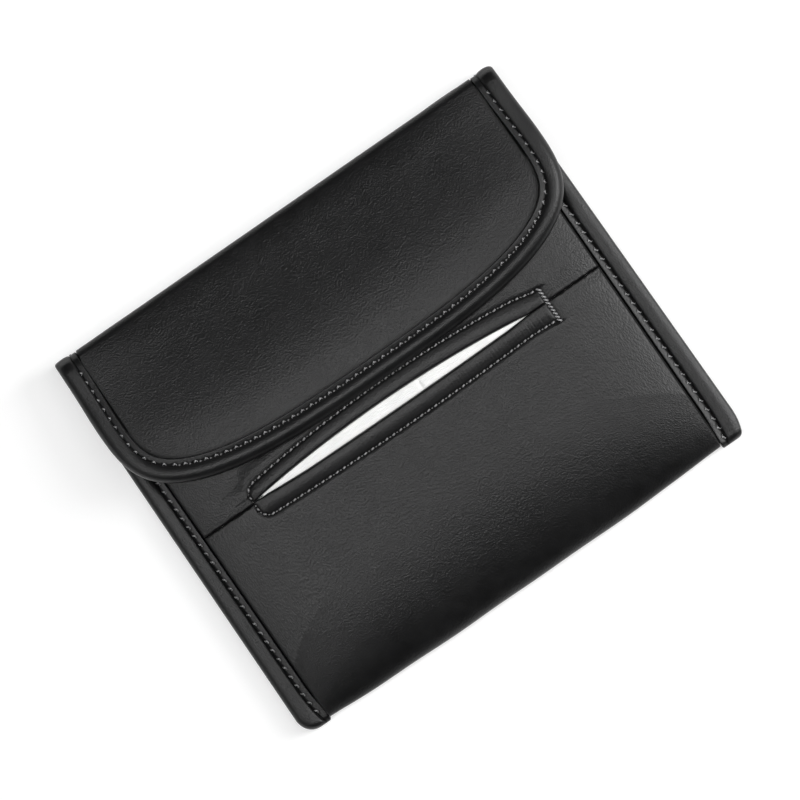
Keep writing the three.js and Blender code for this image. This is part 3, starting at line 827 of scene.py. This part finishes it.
def lip_seam(side):
    """The seam round one lip, from the cross seam at the left to the cross seam at the right."""
    x = lip_columns(241)
    x = x[x < BAR_X]
    y = lip_rim_y(x, side)
    start = SEAM_Y + side * 0.9
    left_end = stack(-SLOT_END, even(start, y[0], SEAM_END_POINTS + 1)[:-1])
    right_end = stack(BAR_X, even(y[-1], start, SEAM_END_POINTS + 1)[1:])
    return join(left_end, stack(x, y), right_end)


WELT = join(lip_seam(1), lip_seam(-1))


def cross_seam_drop(x, y, seam):
    """Depth of the cross seam, which the leather rolls into over an uneven width."""
    run = 0.42 + 0.22 * np.sin(TURN * x / 2.3 + 2 * np.sin(x) + np.sign(y - SEAM_Y)) + 0.12 * np.sin(x * 5.1)
    return CROSS_DIP * clip(1 - seam / run) ** 1.6 + 0.2 * hump(seam, 3)


def front_relief(x, y):
    """How far the front's leather lies off its plain form, and how near it is to a seam, from 0 to 1, which
    the leather's colour turns into painted shade.
    """
    far = np.clip(x, -SLOT_END, SLOT_END)
    beyond = abs(x) > SLOT_END
    above = y - lip_rim_y(far, 1)
    within = ~beyond & (above < 0) & (y > lip_rim_y(far, -1))
    by_bar = (y < SEAM_Y + BAR_ENDS[0]) & (y > SEAM_Y + BAR_ENDS[1])
    outside = nearest(WELT, x, y)
    seam = abs(y - SEAM_Y) - SEAM_GAP / 2
    dip = WELT_DIP * hump(outside, 0.8) - 0.04 * hump(outside - 3, 2)
    dip = np.where(within, UNDER_LIP, dip + BAR_DIP * hump(x - BAR_X, 2.6) * by_bar)
    dip = dip + beyond * cross_seam_drop(x, y, seam)
    valley = hump(above - 3, 3) * (above > 0) * smooth((12 - x) / 40) * smooth((80 + x) / 16)
    uneven = UNEVEN * waves(x, y, 75, 3) + UNEVEN_FINE * waves(x, y, 21, 4)
    tug = TUG * hump(outside, 11) * waves(x, y * 0.35, 15, 5)
    lift = (uneven + tug) * smooth((EDGE_X - abs(x)) / 9) - dip - VALLEY_DIP * valley
    # Painted shade at the welt seam, the cross seam and the bar of stitches.
    welt_shade = 0.8 * hump(outside, 0.7) * ~within
    return lift, np.maximum.reduce([welt_shade, beyond * hump(seam, 0.4), by_bar * hump(x - BAR_X, 1.2)])


def leather_wrap():
    outer, inner = wrap_grid(0), wrap_grid(LEATHER)
    x, y, z = (outer[..., k].copy() for k in range(3))
    relief, pit = front_relief(x, y)
    on_front = np.arange(len(outer))[:, None] < FRONT_ROWS + NOSE_ROWS
    fade = smooth((y - NOSE_Y - 4) / 30) * on_front
    loose = 0.22 * waves(x, lengths(outer, 0), 48, 8) * (1 - fade)
    loose = loose * smooth((EDGE_X - abs(x)) / 8) * smooth((MID_Z * 3 - z) / 9)
    outer[..., 2] += relief * fade
    normals = grid_normals(outer)
    outwards = np.sign(normals[10, SWELL_COLUMNS, 2])
    outer += normals * (outwards * loose)[..., None]
    piece = make_shell("body_leather", outer, inner, LEATHER_LOOK, pit=pit * fade)
    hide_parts("outer_wrap")
    over_low_crease(piece)


def leather_upper_front():
    outer, inner = upper_front_grid(0), upper_front_grid(LEATHER)
    relief, pit = front_relief(outer[..., 0], outer[..., 1])
    outer[..., 2] += relief * smooth((MOUTH_Y - outer[..., 1]) / 6)
    piece = make_shell("upper_front_leather", outer, inner, LEATHER_LOOK, pit=pit)
    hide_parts("front_upper_panel")
    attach(piece, "pouch")


def flap_inner_line():
    """Inner edge of the flap's binding, as points in the plane."""
    x = EDGE_X * np.sin(even(-QUARTER, QUARTER, 700))
    sides = even(FLAP_SIDE_Y, FOLD_Y, 40)
    bow = stack(x, flap_edge_y(x, BINDING_WIDTH))
    return join(stack(-EDGE_X, sides), bow, stack(EDGE_X, sides))


def leather_flap():
    outer = flap_grid(0, flap_thickness)
    inner = flap_grid(LEATHER, lambda y: flap_thickness(y) - LEATHER)
    x, y = outer[..., 0], outer[..., 1]
    bare = (abs(x) < EDGE_X) & (y > flap_edge_y(x, BINDING_WIDTH))
    inside = nearest(flap_inner_line(), x, y) * np.where(bare, 1, -1)
    on_face = smooth((outer[..., 2] - HIGH_BEND_Z - 2) / 3)
    swell = 0.22 * smooth(inside / 14) - 0.25 * smooth(-inside / 1.2)
    uneven = UNEVEN * waves(x, y, 85, 21) + UNEVEN_FINE * waves(x, y, 24, 22)
    outer[..., 2] += (swell + uneven * smooth(inside / 12)) * on_face
    # Painted shade along the inner edge of the flap's binding.
    piece = make_shell("flap_leather", outer, inner, LEATHER_LOOK, pit=0.5 * hump(inside, 0.7) * on_face)
    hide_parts("spine_panel", "flap_panel")
    over_high_crease(piece)


# Bindings: a strip folded round the edge, with a flat hem, a sewn groove and a padded roll

FRONT_SEAM_LIFT = 0.72
BACK_SEAM_LIFT = 0.4
GROOVE_COLUMNS = 5
CHANNEL = BINDING_INSET - LAYER_GAP


def binding_profile(channel=CHANNEL, crest=ROLL_CREST, hem_rise=0.1, lean=0.38, shoulder=0.0):
    """Points round the strip: distance in from its outer edge, side and lift, and where its seams are."""
    slit, hem = BINDING_WIDTH - SEAM_INSET, BINDING_WIDTH - HEM_EDGE
    floor_lift = TAPE_TOP - 0.75
    hem_lift = TAPE_TOP + hem_rise
    edge = crest * (1 - np.cos(quarter(27)))
    fall = join(even(crest, slit - 0.9, 16)[1:], even(slit - 0.9, slit, 8)[1:])
    flat = join(even(slit, slit + 0.6, 6)[1:], even(slit + 0.6, hem, 6)[1:])
    rim = hem + HEM_EDGE * np.sin(quarter(6))[1:]
    across = join(edge, fall, flat, rim)

    def lift_of(a, top):
        away = 1 - clip(a / crest)
        bevelled = (top + 1.0 - 0.44 * crest * away ** 1.7) * np.sqrt(1 - (1 - clip(a / 0.6)) ** 2)
        roll = -1.0 + mix((top + 1.0) * np.sqrt(1 - away ** 2), bevelled, shoulder)
        share = clip((a - crest) / (slit - crest))
        low = mix(top, floor_lift, 0.5 * share ** 2.2 + 0.5 * share ** 12)
        step = 1 - (1 - clip((a - slit) / 0.55)) ** 2.4
        up = mix(floor_lift, hem_lift, mix(step, clip((a - slit) / (hem - slit)), lean))
        end = mix(BINDING_GAP, hem_lift, np.sqrt(1 - clip((a - hem) / HEM_EDGE) ** 2.2))
        return np.select([a <= crest, a <= slit, a <= hem], [roll, low, up], end)

    outer = lift_of(across, TAPE_TOP + BINDING_ROLL)
    inner = lift_of(across, TAPE_TOP)
    lifts = join(outer[::-1], inner[1:], [BINDING_GAP] * 2)
    sides = join(np.ones(len(across)), -np.ones(len(across) - 1), [-1, 1])
    reach = join(across[::-1], across[1:], [channel, channel])
    seam = len(rim) + len(flat)
    back_seam = len(across) + len(edge) + len(fall) - 2
    return reach, sides, lifts, seam, back_seam


def knotted_seam(line, up, below):
    """Shorter stitches that lie lower, with a small knot between them on the part below this height."""
    line = line - up * (0.25 + 0.2 * smooth((line[:, 1:2] - below) / 12))
    knots = stitch_ends(line - 0.5 * up, up, slant=2.0, length=0.8, offset=0.99)
    low = knots[0][:, 1] < below
    return [stitch_ends(line, up, slant=0.25, length=1.5), tuple(part[low] for part in knots)]


def sewn_loft(name, grid, seams, knotted_below=None):
    """Presses stitch holes into the loft and returns it with the stitches of its seams."""
    normals = grid_normals(grid, wrap=True)
    normals = normals * np.sign(np.sum((grid - grid.mean(axis=1, keepdims=True)) * normals))
    # Painted shade along each seam's groove, darkest at the stitch line; the stitch dimples add to it below.
    groove_shade = np.zeros(grid.shape[:2])
    ends = []
    for column, first, last, lift in seams:
        up = normals[first:last, column]
        line = grid[first:last, column] + up * lift
        if knotted_below is None:
            ends.append(stitch_ends(line, up))
        else:
            ends += knotted_seam(line, up, knotted_below)
        for step in range(-GROOVE_COLUMNS, GROOVE_COLUMNS + 1):
            groove_shade[:, column + step] = 1 - 0.16 * abs(step)
    holes = join(*(part for seam in ends for part in seam[:2]))
    shaped, pit = pressed(grid, normals, holes, 0.6, 0.42)
    piece = make_loft(name, shaped, BINDING_LOOK, pit=np.maximum(pit, groove_shade))
    return piece, ends


# The left binding is a full roll with a round corner. The right one is bevelled, with a squarer corner.
# Each has the corner's radius, the one inside it, the inner edge's lean, its first sewn ring and its roll
LEFT_SIDE = (CORNER_RADIUS, 1.2, 1.1, 26, {})
RIGHT_SIDE = (CORNER_RADIUS + 4, 0.8, 0.7, 14, {"crest": 3.3, "hem_rise": 0.55, "lean": 0.75, "shoulder": 1})
SIDE_BOTTOM = NOSE_Y + 0.2
RING_STEP = 0.5
CURL = 3


def corner_inset(y, sign, turn):
    """How far the outer edge draws in round the lower corner."""
    corner = clip((SIDE_BOTTOM + turn - y) / turn)
    if sign < 0:
        return turn * 0.85 * rounded(corner)
    return 2.4 * corner ** 2.3 + 1.5 * rounded(clip((SIDE_BOTTOM + 1.6 - y) / 1.6))


def side_binding(name, sign):
    """Front and back of the pouch's side, with its rounded lower end."""
    turn, inner_turn, lean, first, roll = LEFT_SIDE if sign < 0 else RIGHT_SIDE
    turned = SIDE_BOTTOM + turn * (1 - np.cos(quarter(40)))
    ys = join(turned, np.arange(turned[-1] + RING_STEP, MOUTH_Y, RING_STEP), [MOUTH_Y])
    half = (FLANGE_TOP - BACK_Z) / 2
    rings = []
    for y in ys:
        up = y - SIDE_BOTTOM
        outer = half_width(y) - corner_inset(y, sign, turn)
        curve = 0.6 * inner_turn * rounded(clip(1 - up / inner_turn))
        inner = INNER_EDGE + curve - lean * (1 - smooth((up - 2) / 14))
        channel = mix(BINDING_WIDTH, CHANNEL, smooth((up - 3.4) / 0.8))
        reach, sides, lifts, seam, back_seam = binding_profile(channel, **roll)
        across = reach * (outer - inner) / BINDING_WIDTH
        curl = math.sqrt(1 - clip((CURL - up) / (CURL + 0.05)) ** 2.4)
        height = (half + lifts) * mix(0.35, 1, curl)
        z = BACK_Z + half + sides * height - 0.6 * (1 - curl)
        rings.append(stack(sign * (outer - across), y, z))
    last = len(ys) - 3
    seams = [(seam, first, last, FRONT_SEAM_LIFT), (back_seam, first, last, BACK_SEAM_LIFT)]
    piece, ends = sewn_loft(name, np.array(rings), seams)
    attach(piece, "pouch")
    return piece, ends


def fold_binding_rings(sign, stations):
    """Rings of the strip's edge over the top fold. A station is (y of the bend's centre, z of it, angle)."""
    reach, sides, lifts, _, _ = binding_profile()
    rings = []
    for base, centre_z, angle in stations:
        press = mix(FOLD_PRESS, 1, smooth((abs(angle) - 0.6) / 0.9))
        sharp = mix(2.2, 1, smooth(abs(angle) / 1.2)) if sign < 0 else 1
        near = np.where(reach < ROLL_CREST, ROLL_CREST * (reach / ROLL_CREST) ** sharp, reach)
        full = TAPE_TOP + BINDING_ROLL * smooth((angle + QUARTER) / QUARTER)
        outside = lifts * press * full / (TAPE_TOP + BINDING_ROLL)
        radius = FOLD_RADIUS + np.where(sides > 0, outside, -INNER_DEPTH - lifts * press)
        y = base + radius * math.cos(angle)
        rings.append(stack(sign * (FLAP_HALF - near), y, centre_z + radius * math.sin(angle)))
    return rings


def low_fold_binding(name, sign):
    """The back's single edge above the mouth, round the first crease, to the middle of the top strip."""
    flat = [(y, LOW_BEND_Z, -QUARTER) for y in even(MOUTH_Y + CLEAR, FOLD_BASE, 9)]
    bend = [(FOLD_BASE, LOW_BEND_Z, -angle) for angle in quarter(15)[-2::-1]]
    rise = [(FOLD_BASE, z, 0) for z in even(LOW_BEND_Z, MID_Z, 5)[1:]]
    grid = np.array(fold_binding_rings(sign, [*flat, *bend, *rise]))
    seam = binding_profile()[3]
    piece, ends = sewn_loft(name, grid, [(seam, 1, len(grid) - 1, BACK_SEAM_LIFT)])
    over_low_crease(piece)
    return piece, ends


def flap_outline():
    """Left side down from the second crease, round the bow, and up the right side, at even steps."""
    angle = even(0, math.pi, 4000)
    across = -np.sign(np.cos(angle)) * abs(np.cos(angle)) ** (2 / OUTLINE_POWER)
    down = np.sin(angle).clip(0) ** (2 / OUTLINE_POWER)
    bow = stack(FLAP_HALF * across, FLAP_SIDE_Y - FLAP_BOW * down)
    sides = even(FOLD_BASE - 0.4, FLAP_SIDE_Y, 60)[:-1]
    line = join(stack(-FLAP_HALF, sides), bow, stack(FLAP_HALF, sides[::-1]))
    line[:, 0] += np.sign(line[:, 0]) * FLAP_BELLY * hump(line[:, 1] - 53, 15)
    run = lengths(line[None], 1)[0]
    return read_at(even(0, run[-1], int(run[-1] / 0.55)), run, line)


def flap_binding():
    outline = flap_outline()
    slope = unit(np.gradient(outline, axis=0))
    reach, sides, lifts, seam, back_seam = binding_profile()
    px = outline[:, :1] - slope[:, 1:] * reach
    py = outline[:, 1:] + slope[:, :1] * reach
    under = flap_under(px, py)
    z = np.where(sides > 0, under + flap_thickness(py) + lifts, under - lifts)
    stations = [(FOLD_BASE, z, 0) for z in even(MID_Z, HIGH_BEND_Z, 5)[:-1]]
    stations += [(FOLD_BASE, HIGH_BEND_Z, angle) for angle in even(0, QUARTER - FOLD_TILT - 0.1, 15)]
    left = fold_binding_rings(-1, stations)
    right = fold_binding_rings(1, stations[::-1])
    grid = join(left, stack(px, py, z), right)
    front = (seam, 21, len(grid) - 21, FRONT_SEAM_LIFT)
    back = (back_seam, 30, len(grid) - 30, BACK_SEAM_LIFT)
    piece, ends = sewn_loft("flap_edge_binding", grid, [front, back], knotted_below=28)
    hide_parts("flap_binding")
    over_high_crease(piece)
    return ends


# Lips of the slot: two rolls of leather, sewn down round the opening

def lip_edge_y(x, side):
    """Where a lip turns in at the slot. The upper one hangs a little lower at the right."""
    if side > 0:
        return SEAM_Y + np.maximum(0.05, 4.3 * (1 - ((x + 7.2) / 65) ** 2))
    sag = 0.7 * np.maximum(0, 1 - (x / 64) ** 2)
    return SEAM_Y - 0.1 - sag + 0.75 * smooth((-x - 40) / 26) + 0.25 * smooth((x - 46) / 12)


def lip_swell(x, inside):
    """How full the lip is, from 0 at its seam and at the bar of stitches to 1."""
    full = 0.6 * swollen(inside / 1.1) + 0.4 * swollen(inside / 5.5)
    return full * swollen((BAR_X - x) / 1.8)


def lip_waves(x, side, share):
    """Crown of the lip, with fine ripples and with gathers that grow to the right."""
    ripple = 0.02 * math.sin(TURN * x / 1.9 + side) + 0.03 * math.sin(TURN * x / 11 + 2 * side)
    gathers = 0.05 * math.sin(TURN * x / 1.25 + 3 * math.sin(x / 4 + side)) * (0.6 + 0.4 * math.sin(x / 2.7))
    grown = smooth((x + 5 - 10 * side) / 45)
    return ripple + (gathers * grown + 0.25) * np.sin(math.pi * clip(share))


def lip_ring(x, side, path):
    """A padded strip's section: it rolls in at the slot, swells, and is sewn down at its outer edge."""
    edge_y = lip_edge_y(x, side)
    opened = abs(edge_y - lip_edge_y(x, -side))
    edge_roll = mix(0.4, 1.0, clip(opened / 1.5))
    width = abs(lip_rim_y(x, side) - edge_y)
    under = np.minimum(even(3.6, edge_roll, 6)[:-1], width)
    turn = even(-QUARTER, 0, 9)[:-1]
    spread = np.sin(quarter(26))[1:]
    across = join(edge_roll * (1 - np.cos(quarter(9))), mix(edge_roll, width, spread))
    inside = nearest(path, x, edge_y + side * across)
    inside = np.where(across > width - 1e-6, 0, inside)
    crown_lift = LIP_HIGH - LIP_LOW + lip_waves(x, side, across / width)
    rolled = rounded(clip(1 - across / edge_roll))
    top = mix(LIP_LOW + crown_lift * lip_swell(x, inside), LIP_TURN_Z, rolled)
    z = join(np.full(len(under), LIP_FOOT_Z), LIP_TURN_Z + 2.0 * np.sin(turn), top)
    y = edge_y + side * join(under, edge_roll * (1 - np.cos(turn)), across)
    return stack(x, y, front_z(x, SEAM_Y, 0) + z)


def lip_sewing(path, side):
    """Stitches along the seam round a lip, and the knots between them."""
    sewn = path[path[:, 0] < BAR_X - 0.7]
    line = np.column_stack([sewn, front_z(sewn[:, 0], sewn[:, 1], 0) - 0.32])
    sunk = 0.3 + 0.5 * (side > 0) * smooth((-10 - line[:, :1]) / 20)
    knots = stitch_ends(line - UP * sunk, UP, LIP_PITCH, slant=3.0, length=0.65, offset=0)
    return [stitch_ends(line, UP, LIP_PITCH, slant=0.3, length=1.45), knots]


def lip(name, side):
    path = lip_seam(side)
    grid = np.array([lip_ring(x, side, path[:-SEAM_END_POINTS]) for x in lip_columns(520)])
    normals = grid_normals(grid)
    normals = normals * np.sign(normals[150, -12, 2])
    seams = lip_sewing(path, side)
    shaped, pit = pressed(grid, normals, join(*seams[0][:2]), 0.35, 0.55)
    # Stitch dimples and the seam round the lip darken its colour as painted shade.
    pit = np.maximum(pit, hump(nearest(path, grid[..., 0], grid[..., 1]), 0.9))
    piece = make_shell(name, shaped, shaped - normals * 0.8, BINDING_LOOK, pit=pit)
    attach(piece, "pouch")
    return piece, seams


def bar_stitches():
    """The close slanted stitches that end the slot at the right."""
    y = SEAM_Y + even(*BAR_ENDS, 30)
    line = stack(BAR_X, y, front_z(BAR_X, y, 0) - 0.12)
    return stitch_ends(line, UP, 1.5, slant=0.85, length=2.3)


def lips():
    upper, upper_seams = lip("upper_lip", 1)
    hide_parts("slot_lip_upper")
    lower, lower_seams = lip("lower_lip", -1)
    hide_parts("slot_lip_lower")
    stitches = make_stitches("lip_stitches", [*upper_seams, *lower_seams, bar_stitches()])
    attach(stitches, "pouch")


# Linings

def over_board(node, margin=3.8):
    """Lift of a lining over its board, falling to nothing within the margin round it."""
    low, high = box_mm(node)

    def lift(x, y):
        reach_x = smooth(1 - (abs(x) - high[0]) / margin)
        reach_y = smooth(1 - (y - high[1]) / margin) * smooth(1 - (low[1] - y) / margin)
        return BOARD_LIFT * reach_x * reach_y

    return lift


def lining(name, grid, outer_lift, inner_lift):
    return make_shell(name, grid(LINING_DEPTH, outer_lift), grid(INNER_DEPTH, inner_lift), LINING_LOOK)


def linings():
    lift = over_board("back_board")
    inner = lining("inner_lining", wrap_grid, lift, lift)
    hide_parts("lining_wrap")
    over_low_crease(inner)
    lift = over_board("front_board")
    front = lining("upper_front_lining", upper_front_grid, lift, lift)
    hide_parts("front_upper_lining")
    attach(front, "pouch")
    flap_stiffener()
    flap = lining("flap_inner_lining", flap_grid, lambda y: LINING, lambda y: 0)
    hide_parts("spine_lining", "flap_lining")
    over_high_crease(flap)


def flap_stiffener():
    """The flap's board, which follows the swell of its leather."""
    _, high = box_mm("flap_board")
    x = even(-1, 1, 161) * (high[0] - 1)
    bottom = np.minimum(flap_edge_y(x, BINDING_WIDTH + 2.5), high[1] - 4)
    y = mix(high[1] - 3, bottom, even(0, 1, 90)[:, None])
    under = stack(x, y, flap_under(x, y) + LINING + LAYER_GAP)
    piece = make_shell("flap_board_sheet", under + BOARD * UP, under, BOARD_LOOK)
    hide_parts("flap_board")
    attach(piece, "flap")


# Bands on the back

RIBS = 9
RIB_HEIGHT = 0.16
BAND_SEAM = 4


def elastic_band(side):
    low, high = box_mm(f"elastic_band_{side}")
    middle, half = (low[0] + high[0]) / 2, (high[0] - low[0]) / 2
    seam_ys = low[1] + BAND_SEAM, high[1] - BAND_SEAM
    x, y = np.meshgrid(even(-half, half, RIBS * 8 + 1), even(low[1], high[1], 150))
    rib = RIB_HEIGHT * abs(np.sin(math.pi * (x + half) / (2 * half) * RIBS)) ** 0.7
    sewn = hump(y - seam_ys[0], 1.1) + hump(seam_ys[1] - y, 1.1)
    edge = 0.35 * (1 - smooth((half - abs(x)) / 0.8))
    narrowed = middle + x * (1 - 0.006 * np.sin(TURN * y / 40) ** 2)
    outer = stack(narrowed, y, 0.18 - rib + edge + 0.35 * sewn)
    piece = make_shell(f"visor_band_{side}", outer, stack(narrowed, y, high[2] - edge), ELASTIC_LOOK)
    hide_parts(f"elastic_band_{side}")
    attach(piece, "pouch")
    across = middle + even(1 - half, half - 1, 40)
    return [stitch_ends(stack(across, seam_y, 0.5), -UP, LIP_PITCH, slant=0.2) for seam_y in seam_ys]


# Tissues

READY_HALF = SLOT_HALF - 0.5
PLY = 0.12


def ready_ring(x, low):
    """Section of the ready tissue: two legs that draw in towards the pack, and a soft creased bend."""
    around = even(0, math.pi, 31)
    upper, lower = lip_edge_y(x, 1), lip_edge_y(x, -1)
    half = max(0.3, (upper - lower) / 2 + 0.25)
    arch = 0.55 * half
    top = front_z(x, SEAM_Y, 0) - 1.0 - 1.2 * (abs(x) / READY_HALF) ** 8 - 1.2 * smooth((x - 54) / 5)
    crease = 0.7 * hump(x - 9.5, 0.55) * (0.6 + 0.4 * np.cos(around * 2 + x))
    soft = 0.12 * math.sin(x / 5.3) + 0.08 * math.sin(x / 2.1 + 1)
    legs = even(low, top - arch, 12)[:-1]
    drawn = half * mix(0.5, 1, smooth((legs - low) / 9))
    y = join(-drawn, -half * np.cos(around), drawn[::-1])
    bend = top - arch + arch * np.sin(around).clip(0) ** 0.35 + (soft - crease) * np.sin(around)
    z = join(legs, bend, legs[::-1])
    wobble = 0.06 * np.sin(z * 2.1 + x / 3) * (abs(y) > half * 0.98)
    return stack(x, (upper + lower) / 2 + y + wobble, z)


def ready_tissue():
    """The fold of the sheet that stands in the slot."""
    low = box_mm("tissue_sheet")[0][2]
    outer = np.array([ready_ring(x, low) for x in even(-READY_HALF, READY_HALF, 220)])
    normals = grid_normals(outer)
    normals = normals * np.sign(normals[100, 26, 2])
    piece = make_shell("ready_tissue_fold", outer, outer - normals * PLY, TISSUE_LOOK)
    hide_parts("tissue_sheet")
    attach(piece, "ready_tissue")
    length = float(lengths(outer, 1)[:, -1].mean()) * MM


def pack_ring(x, stack_top):
    """Section of the pack: page edges at its open end, its face, the soft nose and the back."""
    low_z = BACK_Z + STACK_DEPTH
    full = bulge(x, STACK_DEPTH)
    bottom = bottom_y(x, STACK_DEPTH)
    reach, tuck = mix(EDGE_REACH, NOSE_REACH, full), mix(EDGE_REACH, NOSE_TUCK, full)
    top_z = front_z(x, SEAM_Y, STACK_DEPTH)
    nose_z = mix(low_z, top_z, NOSE_HEIGHT_SHARE)
    layers = even(0, 1, 60)
    leaf = 0.35 * abs(np.sin(math.pi * layers * 9)) ** 0.6 + 0.25 * math.sin(x / 9) * np.sin(layers * 12)
    front_y = even(stack_top - 0.8, bottom + reach, 90)
    angle = quarter(26)[1:]
    ring = join(
        stack(stack_top - 0.5 + leaf, mix(low_z, front_z(x, stack_top, STACK_DEPTH), layers)),
        stack(front_y, front_z(x, front_y, STACK_DEPTH)),
        stack(bottom + reach * (1 - np.sin(angle)), mix(nose_z, top_z, np.cos(angle))),
        stack(bottom + tuck * (1 - np.cos(angle)), mix(nose_z, low_z, np.sin(angle))),
        stack(even(bottom + tuck, stack_top - 0.8, 40)[1:], low_z),
    )
    return stack(x, ring[:, 0], ring[:, 1])


def tissue_pack():
    half = 0.985 * (EDGE_X - STACK_DEPTH)
    stack_top = box_mm("tissue_pack")[1][1]
    grid = np.array([pack_ring(x, stack_top) for x in half * np.sin(even(-QUARTER, QUARTER, 121))])
    x, y, z = (grid[..., k] for k in range(3))
    z -= 0.15 * (1 + waves(x, y, 30, 31)) * (z > BACK_Z + STACK_DEPTH + 1)
    piece = make_loft("tissue_stack", grid, TISSUE_LOOK)
    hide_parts("tissue_pack")
    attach(piece, "pouch")


# Camera and light

PHOTO_TURN = math.radians(34.66)
CAMERA_HEIGHT = 2.01
LENS = 240


def camera():
    data = bpy.data.cameras.new("camera")
    data.lens = LENS
    data.clip_end = 20
    bpy.context.scene.camera = placed("camera", data, (0, 0, CAMERA_HEIGHT), (0, 0, -PHOTO_TURN))


def lamp(name, place, size, watts):
    data = bpy.data.lights.new(name, "AREA")
    data.shape = "RECTANGLE"
    data.size, data.size_y = size
    data.energy = watts
    aim = -np.array(place)
    yaw = math.atan2(aim[1], aim[0]) - QUARTER
    pitch = math.acos(np.clip(-aim[2] / np.linalg.norm(aim), -1, 1))
    placed(name, data, place, (pitch, 0, yaw))


FLOOR_Z = -0.6
FLOOR_SIDES = 96
FLOOR_GLOW = 0.52


def floor():
    """A wide pale floor with a low rim at the horizon, white to the camera, in mirrors and through glass."""
    around = TURN * np.arange(FLOOR_SIDES) / FLOOR_SIDES
    rings = [(0.01, 0), (1500, 0), (6000, 0), (30000, 0), (30200, 60), (30400, 3500)]
    points = join(*(stack(r * np.cos(around), r * np.sin(around), z) for r, z in rings))
    look = Look("white_floor", solid=True)
    look.tint(look.noise(1000 / 3), (0.52, 0.52, 0.52), (0.55, 0.55, 0.55))
    look.plain(Roughness=0.9, Specular_IOR_Level=0.1, Emission_Color=(1, 1, 1, 1))
    rays = look.node("LightPath").outputs
    seen = look.calculate("MAXIMUM", rays["Is Camera Ray"], rays["Is Glossy Ray"])
    seen = look.calculate("MAXIMUM", seen, rays["Is Transmission Ray"])
    look.link(look.calculate("MULTIPLY", seen, FLOOR_GLOW), look.shader["Emission Strength"])
    quads = quads_of(len(rings), FLOOR_SIDES, wrap=True)
    plane = make_piece("floor", points, quads, look.material, points[:, :2] * MM)
    plane.location.z = FLOOR_Z * MM


def world():
    made = bpy.data.worlds.new("studio")
    bpy.context.scene.world = made
    made.use_nodes = True
    background = made.node_tree.nodes["Background"].inputs
    background["Color"].default_value = (1, 1, 1, 1)
    background["Strength"].default_value = 0.02


camera()
world()
floor()
lamp("strip", (0.0, 0.11, 1.5), (2.2, 0.34), 17)
lamp("key", (1.2, -0.2, 0.8), (0.6, 0.85), 17)
lamp("fill", (-1.15, -0.1, 1.0), (0.5, 0.7), 3)

leather_wrap()
leather_upper_front()
leather_flap()
linings()
lips()

pouch_seams = []
for side, sign in (("left", -1), ("right", 1)):
    piece, ends = side_binding(f"edge_binding_{side}", sign)
    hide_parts(f"side_binding_{side}")
    pouch_seams += ends
    piece, ends = low_fold_binding(f"fold_binding_{side}", sign)
    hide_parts(f"spine_binding_{side}")
    over_low_crease(make_stitches(f"fold_stitches_{side}", ends))
    pouch_seams += elastic_band(side)
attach(make_stitches("pouch_stitches", pouch_seams), "pouch")
over_high_crease(make_stitches("flap_stitches", flap_binding()))

tissue_pack()
ready_tissue()

for name, material in (("board", BOARD_LOOK), ("magnet", magnet_material())):
    for node, carried in frame["nodes"].items():
        if name in node:
            carried.data.materials.clear()
            carried.data.materials.append(material)

bpy.context.scene.view_settings.view_transform = "Standard"
